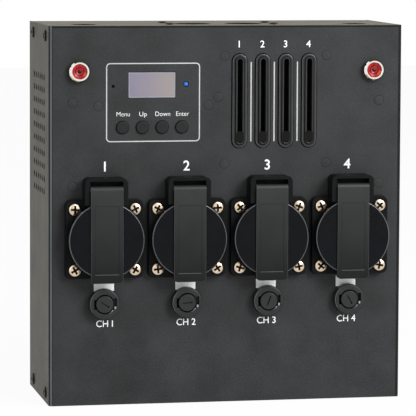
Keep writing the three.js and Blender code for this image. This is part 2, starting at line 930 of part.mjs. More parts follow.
function makeFuse() {
  const cap = fuseDiameter / 2;
  const glass = fuseGlass / 2;
  return turned(
    [
      [0, fuseBack],
      [cap, fuseBack],
      [cap, fuseBack - fuseCapLength],
      [glass, fuseBack - fuseCapLength],
      [glass, fuseFront + fuseCapLength],
      [cap, fuseFront + fuseCapLength],
      [cap, fuseFront],
      [0, fuseFront],
    ].reverse(),
    smallSides,
  );
}

const fuseHolder = geometryOf(makeFuseHolder());
const fuseCap = geometryOf(makeFuseCap());
const fuse = geometryOf(makeFuse());
channelPlaces.forEach((k, i) => {
  const holder = new THREE.Group();
  holder.position.set(k * socketPitch, 0, fuseZ);
  model.add(holder);
  place(`fuse_holder_${i + 1}`, fuseHolder, mouldedPlastic, holder);
  place(`glass_fuse_${i + 1}`, fuse, fuseMetal, holder);
  const cap = place(`fuse_cap_${i + 1}`, fuseCap, mouldedPlastic, holder);
  cap.rotation.y = -THREE.MathUtils.degToRad(capTurnDegrees[i % capTurnDegrees.length]);
});

// Fader surround: a plate behind the panel whose four rims stand through it
function makeSurround() {
  const front = panelBack + gap;
  const rimWidth = slotWidth + rimMargin * 2;
  const rimLength = slotLength + rimMargin * 2;
  const across = faderPitch * (channels - 1) + rimWidth + rimPlateMargin * 2;
  const long = rimLength + rimPlateMargin * 2;
  const backing = prism(
    plate(across, long, rimPlateMargin),
    'y',
    front,
    front + rimPlateThickness,
    faderOffset,
    faderZ,
  );
  const rims = channelPlaces.flatMap((k) => {
    const x = faderOffset + k * faderPitch;
    const lipWidth = slotWidth + lipMargin * 2;
    const lipLength = slotLength + lipMargin * 2;
    return [
      prism(pill(rimWidth, rimLength), 'y', -rimHeight, front + weld, x, faderZ),
      prism(pill(lipWidth, lipLength), 'y', -rimHeight - lipHeight, -rimHeight + weld, x, faderZ),
    ];
  });
  const slots = channelPlaces.map((k) =>
    prism(pill(slotWidth, slotLength), 'y', -rimHeight - lipHeight - overrun,
      front + rimPlateThickness + overrun, faderOffset + k * faderPitch, faderZ),
  );
  return cut(join([backing, ...rims]), slots);
}

place('fader_surround', geometryOf(makeSurround()), mouldedPlastic);

// Fader board: four slide potentiometers in slotted cans on one circuit board
function makeFaderBoard() {
  const margin = studFoot;
  const board = prism(
    plate(faderStudWidth + margin * 2, faderStudHeight + margin * 2, gap),
    'y',
    faderBoardFront,
    faderBoardFront + boardThickness,
    faderStudOffset,
    caseHeight - faderStudDrop,
  );
  const cans = channelPlaces.map((k) => {
    const x = faderOffset + k * faderPitch;
    const can = block(x - canWidth / 2, x + canWidth / 2, canFront, faderBoardFront + weld,
      faderZ - canLength / 2, faderZ + canLength / 2);
    const room = carriageWidth / 2 + gap;
    const reach = (faderTravel + carriageHeight) / 2 + leverEnd;
    const cavity = block(x - room, x + room, canFront + canWall, faderBoardFront - gap,
      faderZ - reach, faderZ + reach);
    const mouth = prism(pill(slotWidth, slotLength), 'y', canFront - overrun, canFront + canWall + weld,
      x, faderZ);
    return cut(can, [cavity, mouth]);
  });
  return cut(join([board, ...cans]), studHoles(faderStuds, faderBoardFront));
}

place('fader_board', geometryOf(makeFaderBoard()), boardGreen);

// Fader lever: blade in the slot with its carriage inside the can
function makeLever() {
  const tip = -rimHeight - lipHeight + leverSunk;
  const carriageFront = canFront + canWall + gap;
  return join([
    prism(plate(leverWidth, leverHeight, leverWidth / 3), 'y', tip, carriageFront + weld),
    block(-carriageWidth / 2, carriageWidth / 2, carriageFront, faderBoardFront - gap * 2,
      -carriageHeight / 2, carriageHeight / 2),
  ]);
}

const lever = geometryOf(makeLever());
channelPlaces.forEach((k, i) => {
  const mesh = place(`fader_lever_${i + 1}`, lever, glossyPlastic);
  mesh.position.set(faderOffset + k * faderPitch, 0, faderZ - faderTravel / 2);
});

// Control board: switches, microphone and signal lamp soldered to one board
const switchFront = controlBoardFront - switchHeight;
const switchTipFront = switchFront - switchTipHeight;

function makeControlBoard() {
  const front = controlBoardFront;
  const board = prism(
    plate(controlWidth, controlHeight, overrun),
    'y',
    front,
    front + boardThickness,
    controlOffset,
    caseHeight - controlDrop,
  );
  const switches = channelPlaces.flatMap((k) => {
    const x = buttonOffset + k * buttonPitch;
    const z = caseHeight - buttonDrop;
    return [
      block(x - switchSize / 2, x + switchSize / 2, switchFront, front + weld,
        z - switchSize / 2, z + switchSize / 2),
      rod(switchTip, 'y', switchTipFront, switchFront + weld, x, z),
    ];
  });
  const signals = [
    rod(ledDiameter, 'y', -ledProud, front + weld, ledOffset, caseHeight - ledDrop),
    rod(micCapsule, 'y', panelBack + gap, front + weld, micOffset, caseHeight - micDrop),
  ];
  return cut(join([board, ...switches, ...signals]), studHoles(controlStuds, front));
}

place('control_board', geometryOf(makeControlBoard()), boardGreen);

// Display: glass in the panel's window, its module, and the header that stands on the board
function makeDisplay() {
  const middle = caseHeight - displayDrop;
  const top = middle + displayHeight / 2;
  const glassWidth = displayWidth / 2 - gap;
  const glassHeight = displayHeight / 2 - gap;
  const moduleFront = panelBack + gap;
  const moduleBack = moduleFront + moduleThickness;
  const moduleWidth = displayWidth / 2 + moduleMargin;
  const moduleHeight = displayHeight / 2 + moduleMargin;
  return join([
    block(displayOffset - glassWidth, displayOffset + glassWidth, displaySunk, moduleFront + weld,
      middle - glassHeight, middle + glassHeight),
    block(displayOffset - moduleWidth, displayOffset + moduleWidth, moduleFront, moduleBack,
      middle - moduleHeight, middle + moduleHeight),
    block(displayOffset - headerWidth / 2, displayOffset + headerWidth / 2,
      moduleBack - weld, controlBoardFront - gap, top - headerHeight, top),
  ]);
}

place('display', geometryOf(makeDisplay()), displayGlass);

// Push buttons: domed cap through the panel, retaining collar and a short stem
function makeButton() {
  const radius = buttonDiameter / 2;
  const collarFront = panelBack + gap;
  const collarBack = collarFront + buttonCollarHeight;
  return turned(
    [
      [0, collarBack + buttonStemLength],
      [buttonStem / 2, collarBack + buttonStemLength],
      [buttonStem / 2, collarBack],
      [buttonCollar / 2, collarBack],
      [buttonCollar / 2, collarFront],
      [radius, collarFront],
      [radius, -buttonProud + buttonEdge],
      [radius - buttonEdge, -buttonProud],
      [0, -buttonProud],
    ].reverse(),
    mediumSides,
  );
}

const button = geometryOf(makeButton());
['menu', 'up', 'down', 'enter'].forEach((name, i) => {
  const mesh = place(`button_${name}`, button, mouldedPlastic);
  mesh.position.set(buttonOffset + channelPlaces[i] * buttonPitch, 0, caseHeight - buttonDrop);
});

// Signal lamps: plated bezel with its nut, and a funnelled lens with the lamp body behind
const lampFront = -gap - lampHeight;
const lensSeat = lampFront + lensSunk + lensThickness;

function makeLampBezel() {
  const rim = lampRim / 2;
  const bodyRadius = lampBody / 2;
  const lensRadius = lensDiameter / 2 + gap;
  const nutFront = panelBack + gap;
  const shell = turned(
    [
      [lampBore / 2, lampBodyLength],
      [bodyRadius, lampBodyLength],
      [bodyRadius, -gap],
      [rim, -gap],
      [rim, lampFront + lampRimEdge],
      [rim - lampRimEdge, lampFront],
      [lensRadius, lampFront],
      [lensRadius, lensSeat + gap],
      [lampBore / 2, lensSeat + gap],
      [lampBore / 2, lampBodyLength],
    ].reverse(),
    mediumSides,
  );
  const nut = cut(prism(hexagon(lampNut), 'y', nutFront, nutFront + lampNutHeight), [
    rod(lampBody - weld, 'y', nutFront - overrun, nutFront + lampNutHeight + overrun, 0, 0, mediumSides),
  ]);
  return join([shell, nut]);
}

function makeLampLens() {
  const radius = lensDiameter / 2;
  const front = lampFront + lensSunk;
  const stem = lampBore / 2 - gap;
  const eye = lensEyeDiameter / 2;
  return turned(
    [
      [0, lampBodyLength],
      [stem, lampBodyLength],
      [stem, lensSeat],
      [radius, lensSeat],
      [radius, front],
      [eye, front + lensFunnelDepth],
      [0, front + lensFunnelDepth],
    ].reverse(),
    mediumSides,
  );
}

const lampBezel = geometryOf(makeLampBezel());
const lampLens = geometryOf(makeLampLens());
['left', 'right'].forEach((name, i) => {
  const lamp = new THREE.Group();
  lamp.position.set(sides[i] * lampOffset, 0, lampZ);
  model.add(lamp);
  place(`lamp_bezel_${name}`, lampBezel, chrome, lamp);
  place(`lamp_lens_${name}`, lampLens, redLens, lamp);
});

// Control sockets: barrels under the top wall, one with pins and one with sleeves
const dmxFront = caseHeight - dmxSunk;
const dmxBase = dmxFront - dmxLength;
const dmxFloor = dmxFront - dmxRecessDepth;

function dmxContacts(diameter, low, high) {
  return Array.from({ length: dmxPoles }, (_, i) => {
    const angle = Math.PI / 2 + (i * Math.PI * 2) / dmxPoles;
    const x = dmxContactRadius * Math.cos(angle);
    const y = dmxContactRadius * Math.sin(angle);
    return rod(diameter, 'z', low, high, x, y);
  });
}

function makeDmxIn() {
  const cup = cut(rod(dmxDiameter, 'z', dmxBase, dmxFront, 0, 0, mediumSides), [
    rod(dmxRecess, 'z', dmxFloor, dmxFront + overrun, 0, 0, mediumSides),
  ]);
  return join([cup, ...dmxContacts(dmxContact, dmxFloor - weld, dmxFloor + dmxContactLength)]);
}

function makeDmxOut() {
  const wall = dmxDiameter / 2;
  const recess = dmxRecess / 2;
  const insert = dmxInsert / 2;
  const barrel = turned(
    [
      [0, dmxBase],
      [wall, dmxBase],
      [wall, dmxFront],
      [recess, dmxFront],
      [recess, dmxFloor],
      [insert, dmxFloor],
      [insert, dmxFront - dmxSunk],
      [0, dmxFront - dmxSunk],
    ],
    mediumSides,
    true,
  );
  const key = block(
    -dmxKeyWidth / 2,
    dmxKeyWidth / 2,
    -insert - overrun,
    -insert + weld * 2,
    dmxFloor - weld,
    dmxFront - dmxSunk,
  );
  return cut(join([barrel, key]), dmxContacts(dmxContact, dmxFloor, dmxFront + overrun));
}

const dmxSockets = [['dmx_in_socket', makeDmxIn()], ['dmx_out_socket', makeDmxOut()]];
dmxSockets.forEach(([name, solid], i) => {
  const mesh = place(name, geometryOf(solid), mouldedPlastic);
  mesh.position.set((sides[i] * dmxPitch) / 2, dmxSetback, 0);
});

// Socket board with its four screws, which pass the top wall and run down through spacers
function makeDmxBoard() {
  const boardTop = dmxBase - gap;
  const board = block(-dmxBoardWidth / 2, dmxBoardWidth / 2, dmxSetback - dmxBoardDepth / 2,
    dmxSetback + dmxBoardDepth / 2, boardTop - boardThickness, boardTop);
  const screws = corners.flatMap(([a, b]) => {
    const x = (a * dmxScrewWidth) / 2;
    const y = dmxSetback + (b * dmxScrewDepth) / 2;
    const headBase = caseHeight + gap;
    return [
      rod(studThread, 'z', boardTop - weld, headBase + weld, x, y),
      rod(dmxSpacer, 'z', boardTop - weld, topInside - gap, x, y),
      rod(dmxScrewHead, 'z', headBase, headBase + dmxScrewHeadHeight, x, y),
    ];
  });
  return join([board, ...screws]);
}

place('dmx_board', geometryOf(makeDmxBoard()), boardGreen);

// Mains inlet: rim under the dished wall, cup with three blades, body inside the case
function makeInlet() {
  const rimTop = dishDepth - gap;
  const rimBase = rimTop - inletRim;
  const bodyTop = dishDepth + inletBody;
  const cupTop = rimBase + inletCupHeight;
  const rim = inletRimMargin * 2;
  const outside = join([
    prism(plate(inletWidth + rim, inletDepth + rim, inletRimMargin), 'z', rimBase, rimTop),
    block(-inletWidth / 2, inletWidth / 2, -inletDepth / 2, inletDepth / 2, rimTop - weld, bodyTop),
  ]);
  const cup = prism(plate(inletCupWidth, inletCupDepth, inletCupCorner), 'z', rimBase - overrun, cupTop);
  const bladePlaces = [
    [-inletBladeSpacing / 2, 0],
    [inletBladeSpacing / 2, 0],
    [0, inletEarthShift],
  ];
  const blades = bladePlaces.map(([x, y]) =>
    block(x - inletBladeThickness / 2, x + inletBladeThickness / 2,
      y - inletBladeWidth / 2, y + inletBladeWidth / 2,
      cupTop - inletBladeHeight, cupTop + weld),
  );
  const tabs = bladePlaces.map(([x, y]) =>
    block(x - tabWidth / 2, x + tabWidth / 2, y - tabThickness / 2, y + tabThickness / 2,
      bodyTop - weld, bodyTop + tabLength),
  );
  return join([cut(outside, [cup]), ...blades, ...tabs]);
}

const inlet = place('mains_inlet', geometryOf(makeInlet()), mouldedPlastic);
inlet.position.set(inletOffset, inletSetback, 0);

// Dimmer board: output chokes behind it and the wiring terminals in front
function makeDimmerBoard() {
  const middle = caseHeight - dimmerStudDrop;
  const width = dimmerStudWidth + dimmerMargin * 2;
  const height = dimmerStudHeight + dimmerMargin * 2;
  const front = dimmerSetback;
  const back = front + boardThickness;
  const board = prism(plate(width, height, overrun), 'y', front, back, 0, middle);
  const chokes = corners.map(([a, b]) =>
    rod(chokeDiameter, 'y', back - weld, back + chokeHeight,
      a * chokeOffset, middle + (b * chokeSpacing) / 2, mediumSides),
  );
  const stripLow = middle - height / 2 + overrun;
  const strip = block(-terminalStrip / 2, terminalStrip / 2, front - terminalStripDepth, front + weld,
    stripLow, stripLow + terminalStripHeight);
  return cut(join([board, ...chokes, strip]), studHoles(dimmerStuds, front));
}

place('dimmer_board', geometryOf(makeDimmerBoard()), boardGreen);

// Heat sink: extruded base with upright fins, its base flat on the board's back
function makeHeatSink() {
  const middle = caseHeight - dimmerStudDrop;
  const low = middle - sinkHeight / 2;
  const high = middle + sinkHeight / 2;
  const base = dimmerSetback + boardThickness + gap;
  const finRoot = base + sinkBase;
  const step = (sinkWidth - finThickness) / (sinkFins - 1);
  const fins = Array.from({ length: sinkFins }, (_, i) => {
    const x = -sinkWidth / 2 + i * step;
    return block(x, x + finThickness, finRoot - weld, finRoot + finHeight, low, high);
  });
  return join([block(-sinkWidth / 2, sinkWidth / 2, base, finRoot, low, high), ...fins]);
}

place('heat_sink', geometryOf(makeHeatSink()), rawAluminium);

// The front of the lid straps and the back wall are the object's two ends in depth
model.position.y = -(caseDepth + strapFront) / 2;

export default model;
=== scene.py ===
"""Looks of a four-channel stage dimmer pack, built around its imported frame.

Blender units are metres, +Z up, the front panel faces -Y. Pieces are modelled in millimetres
from the middle of the panel's outer face at the bottom edge, and put in place at the end.
"""
import math

import bmesh
import bpy
from mathutils import Matrix, Vector


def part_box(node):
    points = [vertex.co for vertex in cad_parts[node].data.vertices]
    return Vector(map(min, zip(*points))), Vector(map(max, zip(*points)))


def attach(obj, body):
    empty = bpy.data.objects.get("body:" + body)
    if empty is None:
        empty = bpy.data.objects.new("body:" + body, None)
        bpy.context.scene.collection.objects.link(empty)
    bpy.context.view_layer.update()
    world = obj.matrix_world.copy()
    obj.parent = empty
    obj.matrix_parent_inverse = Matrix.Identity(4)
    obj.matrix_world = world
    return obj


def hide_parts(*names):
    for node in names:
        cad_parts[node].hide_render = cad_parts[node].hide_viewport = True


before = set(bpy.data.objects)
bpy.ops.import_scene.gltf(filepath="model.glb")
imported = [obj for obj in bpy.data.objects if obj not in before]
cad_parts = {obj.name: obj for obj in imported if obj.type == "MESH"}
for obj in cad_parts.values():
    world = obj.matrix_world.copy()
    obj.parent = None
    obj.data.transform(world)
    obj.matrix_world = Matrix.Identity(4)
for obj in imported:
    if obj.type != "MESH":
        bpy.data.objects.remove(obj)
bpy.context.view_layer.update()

MM = 0.001
PHOTO = 416

# The case, read from the frame
cover_low, cover_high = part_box("front_cover")
chassis_low, chassis_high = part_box("chassis")
PANEL = cover_low.y
HALF = cover_high.x / MM
HEIGHT = cover_high.z / MM
DEPTH = (cover_high.y - PANEL) / MM
CHASSIS_HALF = chassis_high.x / MM
CHASSIS_FRONT = (chassis_low.y - PANEL) / MM
SHEET = 1.2
BACK_SHEET = 1.5
BEND = 2.4
GAP = 0.3

CHANNELS = (1, 2, 3, 4)
SIDES = (-1, 1)
CORNERS = ((-1, -1), (1, -1), (-1, 1), (1, 1))


def middle_of(node):
    """The middle of a CAD node's box in millimetres from the panel's foot."""
    low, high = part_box(node)
    centre = (low + high) / 2
    return Vector((centre.x, centre.y - PANEL, centre.z)) / MM


def add_object(name, data):
    """A new object with its data, in the scene."""
    made = bpy.data.objects.new(name, data)
    bpy.context.scene.collection.objects.link(made)
    return made


def mesh_from(name, bm):
    mesh = bpy.data.meshes.new(name)
    bm.to_mesh(mesh)
    return mesh


# Camera: a long lens from the upper left, fitted to the corners of the case in the photograph
LENS_PIXELS = 2894.6
AIM_ROW = 154.0
CAMERA_PLACE = (-366.4, -1776.9, 305.8)
CAMERA_YAW = -11.272
CAMERA_PITCH = -4.685
CAMERA_ROLL = 0.239
SENSOR = 36.0
CLIP_START = 0.05
CLIP_END = 20


def add_camera():
    data = bpy.data.cameras.new("camera")
    camera = add_object("camera", data)
    data.sensor_width = SENSOR
    data.lens = LENS_PIXELS * SENSOR / PHOTO
    data.shift_y = (AIM_ROW - PHOTO / 2) / PHOTO
    data.clip_start = CLIP_START
    data.clip_end = CLIP_END
    x, y, z = CAMERA_PLACE
    camera.location = (x * MM, y * MM + PANEL, z * MM)
    yaw = Matrix.Rotation(math.radians(CAMERA_YAW), 3, "Z")
    turn = yaw @ Matrix.Rotation(math.radians(CAMERA_PITCH), 3, "X")
    level, ahead, upright = turn.col
    roll = math.radians(CAMERA_ROLL)
    right = level * math.cos(roll) + upright * math.sin(roll)
    up = upright * math.cos(roll) - level * math.sin(roll)
    camera.rotation_mode = "QUATERNION"
    camera.rotation_quaternion = Matrix((right, up, -ahead)).transposed().to_quaternion()
    bpy.context.scene.camera = camera


add_camera()


# Materials
def linear(hex_colour):
    """An sRGB hex colour as the linear colour that the shaders take."""
    values = []
    for start in (1, 3, 5):
        share = int(hex_colour[start : start + 2], 16) / 255
        values.append(share / 12.92 if share <= 0.04045 else ((share + 0.055) / 1.055) ** 2.4)
    return (*values, 1.0)


def add(tree, kind, inputs=None, stops=(), **settings):
    """A node of a kind with its settings; an input is a value or another node's socket.
    stops are the places and colours along a colour ramp."""
    made = tree.nodes.new("ShaderNode" + kind)
    for name, value in settings.items():
        setattr(made, name, value)
    for order, (position, colour) in enumerate(stops):
        made.color_ramp.elements[order].position = position
        made.color_ramp.elements[order].color = colour
    for name, value in (inputs or {}).items():
        if isinstance(value, bpy.types.NodeSocket):
            tree.links.new(value, made.inputs[name])
        else:
            made.inputs[name].default_value = value
    return made


def new_material(name):
    """An empty material, its tree, and its Object coordinates in metres."""
    material = bpy.data.materials.new(name)
    material.use_nodes = True
    tree = material.node_tree
    tree.nodes.clear()
    return material, tree, add(tree, "TexCoord").outputs["Object"]


def shade(tree, inputs):
    """Ends a material's tree with its principled shader."""
    shader = add(tree, "BsdfPrincipled", inputs)
    add(tree, "OutputMaterial", {"Surface": shader.outputs["BSDF"]})


# Smudged sheen: partly fine dust, its warm tint a painted reflection
DUST_AND_SHEEN_TINT = "#a89f74"
DUST_AND_SHEEN_SMUDGE = 17.0
DUST_AND_SHEEN_ROUGHNESS = 0.4


def surface(name, dark, light, grain_mm, bump_mm, rough, blotch_mm=30.0, height=0.02, spread=0.2,
            gloss=0.5, metal=0.0, dust_and_sheen=None):
    """A finish whose colour varies between two tones and whose fine grain stands up as a bump.
    rough is the least and most roughness, dust_and_sheen the least and most of a smudged sheen,
    partly dust and partly a painted warm reflection, and a smaller spread parts the tones more
    sharply. Sizes are in millimetres."""
    material, tree, place = new_material(name)
    noises = {"fine": (grain_mm, 2.0, 0.5), "broad": (blotch_mm, 3.0, 0.5), "relief": (bump_mm, 2.0, 0.5)}
    ranges = {"Roughness": ("broad", rough)}
    inputs = {"Metallic": metal, "Specular IOR Level": gloss}
    # The smudged sheen, tinted warm as a painted reflection
    if dust_and_sheen:
        noises["smudge"] = (DUST_AND_SHEEN_SMUDGE, 4.0, 0.65)
        ranges["Sheen Weight"] = ("smudge", dust_and_sheen)
        inputs["Sheen Roughness"] = DUST_AND_SHEEN_ROUGHNESS
        inputs["Sheen Tint"] = linear(DUST_AND_SHEEN_TINT)
    made = {}
    for use, (size_mm, detail, roughness) in noises.items():
        noise = {"Vector": place, "Scale": 1 / (size_mm * MM), "Detail": detail, "Roughness": roughness}
        made[use] = add(tree, "TexNoise", noise).outputs["Fac"]
    for socket, (use, (least, most)) in ranges.items():
        span = {"Value": made[use], "To Min": least, "To Max": most}
        inputs[socket] = add(tree, "MapRange", span).outputs["Result"]
    mixed = add(tree, "Math", {0: made["fine"], 1: made["broad"]}, operation="ADD").outputs[0]
    halved = add(tree, "Math", {0: mixed, 1: 0.5}, operation="MULTIPLY").outputs[0]
    stops = ((0.5 - spread, linear(dark)), (0.5 + spread, linear(light)))
    inputs["Base Color"] = add(tree, "ValToRGB", {"Fac": halved}, stops).outputs["Color"]
    bump = add(tree, "Bump", {"Height": made["relief"], "Strength": 1.0, "Distance": height * MM})
    inputs["Normal"] = bump.outputs["Normal"]
    shade(tree, inputs)
    return material


# Powder coat, sprayed and baked: satin, with a fine leathery grain and a faint speckle.
# The real grain is about 0.3 mm, drawn at 0.8 mm so that it shows. Fine dust, wiped in smudges,
# gives it a sheen where it is seen along the surface; the sheen's warm tint is a painted reflection.
powder_coat = surface("powder_coated_steel", "#18191a", "#2e2f31", 0.8, 0.8, (0.46, 0.64),
                      blotch_mm=22, height=0.07, spread=0.16, gloss=0.25, dust_and_sheen=(0.02, 0.54))
# Painted shade on the sheet: near black along cut and drilled edges, on the walls of holes, in a strip
# under the panel's top edge, on the slopes of the stud marks and along the sides of the folds
sheet_painted_shade = surface("coated_sheet_painted_shade", "#09090a", "#101011", 0.4, 0.6, (0.5, 0.6),
                    blotch_mm=5, height=0.01, gloss=0.15)
# Painted highlight along the crown of the left fold: pale and slightly blue
fold_painted_highlight = surface("powder_coat_painted_highlight", "#4a5154", "#596165", 0.6, 0.8, (0.4, 0.5),
                     blotch_mm=25, gloss=0.25)
# Moulded polyamide: black, dull, spark-eroded texture
moulded_nylon = surface("moulded_nylon", "#0b0c0d", "#131415", 0.5, 0.5, (0.4, 0.5),
                        blotch_mm=12, height=0.012, gloss=0.07)
# Polished mould: the lids' round faces, blue-black with a soft gloss and faint handling smears
polished_lid = surface("polished_nylon", "#06070a", "#0b0c10", 0.6, 2.5, (0.2, 0.34),
                       blotch_mm=9, height=0.006, gloss=0.1)
# Lid straps: the same plastic with a dull texture
strap_plastic = surface("textured_nylon", "#1b1c1c", "#272828", 0.5, 0.6, (0.36, 0.5),
                        blotch_mm=16, height=0.012, gloss=0.3)
# Painted highlight, pale and shiny: on the edges of lids and straps, the lower wall of the straps'
# fields, the upper left of the fuse bezels and the outer rounding of the fader rims
nylon_painted_highlight = surface("nylon_painted_highlight", "#3c3d40", "#505155", 0.5, 1.0, (0.22, 0.3),
                       blotch_mm=8, height=0.004)
# Bezels, caps and rims: the same plastic from a smoother mould
bezel_plastic = surface("satin_nylon", "#191a1a", "#222323", 0.5, 0.7, (0.32, 0.42),
                        blotch_mm=10, height=0.008, gloss=0.3)
# Push button caps: acetal with a fine matt face
key_plastic = surface("matt_acetal", "#131314", "#1a1a1b", 0.4, 0.5, (0.45, 0.55),
                      blotch_mm=5, height=0.006, gloss=0.2)
# Pressed rubber of the gaskets and round the microphone: matt black
rubber = surface("moulded_rubber", "#0c0d0e", "#121314", 0.5, 0.8, (0.6, 0.7), height=0.01, gloss=0.2)
# Nickel plate over steel with a warm tint, and a barrel-finished grain
nickel = surface("nickel_plated_steel", "#cdb79b", "#ead8c0", 0.3, 0.5, (0.22, 0.34),
                 blotch_mm=3, height=0.004, metal=1.0)
# Black zinc over steel, worn through to brown rust in spots
black_zinc = surface("black_zinc_steel", "#0f0d0c", "#32261d", 0.8, 0.6, (0.4, 0.55),
                     blotch_mm=1.6, height=0.008, metal=0.5)
# Near-black matt: painted shade at the bottoms of screw recesses and in the grooves and flanks of
# the fader rims, and the own black of the fader stubs
black_and_painted_shade = surface("matt_black_painted_shade", "#050505", "#0d0c0b", 0.3, 0.4, (0.6, 0.7),
                      blotch_mm=2, height=0.006, gloss=0.1)
# Painted reflection on the chrome of the lamp bezels: smoky olive
chrome_painted_reflection = surface("chrome_painted_reflection", "#25231b", "#57533d", 0.8, 1.0, (0.2, 0.34),
                           blotch_mm=3, height=0.003, metal=1.0)
# Yellow chromate over zinc on the suspension nuts
yellow_zinc = surface("yellow_chromated_zinc", "#a98b52", "#c9ad78", 0.5, 0.8, (0.3, 0.4),
                      blotch_mm=4, height=0.006, metal=0.9)
# Hard drawn wire and stamped steel: grey and bright, with hardly any grain
spring_steel = surface("drawn_spring_steel", "#8e9094", "#b4b6ba", 0.3, 0.4, (0.25, 0.35),
                       blotch_mm=3, height=0.003, metal=1.0)
# Chrome plate on the lamp bezels: the room stands in it almost sharply
chrome = surface("polished_chrome", "#e9e6df", "#f4f2ec", 1.0, 2.0, (0.06, 0.12),
                 blotch_mm=4, height=0.002, metal=1.0)
# Stamped brass of the contacts: yellow, a little dulled
brass = surface("stamped_brass", "#b08c46", "#cfae68", 0.4, 0.6, (0.25, 0.36),
                blotch_mm=4, height=0.004, metal=1.0)
# Silver plate on pins, blades and fuse ends: warm white
silver_pin = surface("silver_plated_brass", "#b9b6ae", "#d8d5cc", 0.4, 0.6, (0.22, 0.3),
                     blotch_mm=3, height=0.003, metal=1.0)
# Extruded aluminium of the heat sink: pale grey and satin, left as it came from the press
extruded_aluminium = surface("extruded_aluminium", "#9b9da0", "#b9bbbe", 0.6, 0.5, (0.32, 0.42),
                             height=0.01, metal=1.0)
# Glass-fibre board under green solder mask, with the weave as a faint grain
solder_mask = surface("solder_masked_board", "#12402a", "#1c5a3a", 0.6, 0.9, (0.35, 0.45),
                      blotch_mm=8, height=0.01)
# The fader board's mask is made black as painted shade, so that nothing shines through the slots
black_mask_painted_shade = surface("black_solder_mask", "#070808", "#0e0f0f", 0.6, 0.9, (0.5, 0.6),
                     blotch_mm=8, height=0.01, gloss=0.1)
# Screen-printed inks: thick, slightly rough, with pinholes as tone
white_ink = surface("white_screen_ink", "#e2e5e4", "#f6f8f7", 0.4, 0.5, (0.5, 0.6), height=0.006)
grey_ink = surface("grey_screen_ink", "#a9aaa8", "#c2c2c0", 0.4, 0.5, (0.5, 0.6), height=0.006)
# Edge of the display's film, a little paler than the picture
border_film = surface("polyester_film", "#8b8b96", "#9d9da6", 0.4, 0.6, (0.3, 0.4),
                      blotch_mm=6, height=0.004)


def darken_downwards(material, low, high, least):
    """Takes a finish's tone and gloss down to a share of themselves towards its lower end."""
    tree = material.node_tree
    place = add(tree, "TexCoord").outputs["Object"]
    level = add(tree, "SeparateXYZ", {"Vector": place}).outputs["Z"]
    inputs = {"Value": level, "From Min": low, "From Max": high, "To Min": least}
    share = add(tree, "MapRange", inputs).outputs["Result"]
    principled = next(node for node in tree.nodes if node.type == "BSDF_PRINCIPLED")
    colour = principled.inputs["Base Color"]
    plain = colour.links[0].from_socket
    scaled = add(tree, "VectorMath", {0: plain, "Scale": share}, operation="SCALE")
    tree.links.new(scaled.outputs["Vector"], colour)
    gloss = principled.inputs["Specular IOR Level"]
    kept = add(tree, "Math", {0: share, 1: gloss.default_value}, operation="MULTIPLY")
    tree.links.new(kept.outputs[0], gloss)


def clear_material(name, dark, light, grain_mm, glow=None, **shader):
    """A plastic or glass of two close tones; glow is how strongly it shines in its own colour."""
    material, tree, place = new_material(name)
    noise = {"Vector": place, "Scale": 1 / (grain_mm * MM), "Detail": 2.0, "Roughness": 0.5}
    cloud = add(tree, "TexNoise", noise).outputs["Fac"]
    stops = ((0.3, linear(dark)), (0.7, linear(light)))
    colour = add(tree, "ValToRGB", {"Fac": cloud}, stops).outputs["Color"]
    shader["Base Color"] = colour
    if glow is not None:
        shader["Emission Color"] = colour
        shader["Emission Strength"] = glow
    shade(tree, shader)
    return material


def display_material():
    """Unlit liquid crystal behind a clear window: lavender at the left, warmer at the right."""
    material, tree, place = new_material("liquid_crystal_window")
    split = add(tree, "SeparateXYZ", {"Vector": place})
    low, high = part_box("display")
    inputs = {"Value": split.outputs["X"], "From Min": low.x, "From Max": high.x}
    across = add(tree, "MapRange", inputs).outputs["Result"]
    noise = {"Vector": place, "Scale": 1 / (0.5 * MM), "Detail": 2.0, "Roughness": 0.5}
    inputs = {"Value": add(tree, "TexNoise", noise).outputs["Fac"], "To Min": -0.06, "To Max": 0.06}
    fine = add(tree, "MapRange", inputs).outputs["Result"]
    varied = add(tree, "Math", {0: across, 1: fine}, operation="ADD").outputs[0]
    stops = ((0.15, linear("#797486")), (0.85, linear("#8b8382")))
    colour = add(tree, "ValToRGB", {"Fac": varied}, stops).outputs["Color"]
    shade(tree, {"Base Color": colour, "Roughness": 0.3, "Specular IOR Level": 0.35})
    return material


# Clear red polycarbonate: light goes in and comes back redder, under a soft gloss. Painted shade
# makes it nearly black in its grooves and middle, and a painted glint orange at its lower right.
POLYCARBONATE = {"Roughness": 0.22, "IOR": 1.58, "Specular IOR Level": 0.16}
red_lens = clear_material("red_polycarbonate", "#860a12", "#ad1b20", 2.0, 0.06, **POLYCARBONATE)
red_painted_shade = clear_material("shadowed_red_polycarbonate", "#180305", "#2e0709", 2.0, 0.0, **POLYCARBONATE)
red_painted_glint = clear_material("red_polycarbonate_painted_glint", "#a63a1c", "#c4552b", 2.0, 0.1, **POLYCARBONATE)
# Painted shade: the straps grow darker and less glossy towards their feet
strap_low, strap_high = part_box("socket_lid_1")
darken_downwards(strap_plastic, strap_low.z, strap_high.z, 0.42)
display_window = display_material()
# Blue epoxy of a light-emitting diode, glowing a little at its core
blue_lamp = clear_material("blue_epoxy", "#0a489c", "#2479cc", 1.2, 0.1,
                           **{"Roughness": 0.15, "Coat Weight": 0.3})
# Thin drawn glass tube, clear with a faint green in its edges
fuse_glass = clear_material("drawn_glass", "#e6efe9", "#f6faf7", 3.0,
                            **{"Roughness": 0.03, "IOR": 1.5, "Transmission Weight": 1.0})


# Modelling in millimetres
def block(low, high):
    """A box between two corners."""
    bm = bmesh.new()
    bmesh.ops.create_cube(bm, size=1)
    size = Vector(high) - Vector(low)
    bmesh.ops.scale(bm, vec=size, verts=bm.verts)
    bmesh.ops.translate(bm, vec=(Vector(low) + Vector(high)) / 2, verts=bm.verts)
    return bm


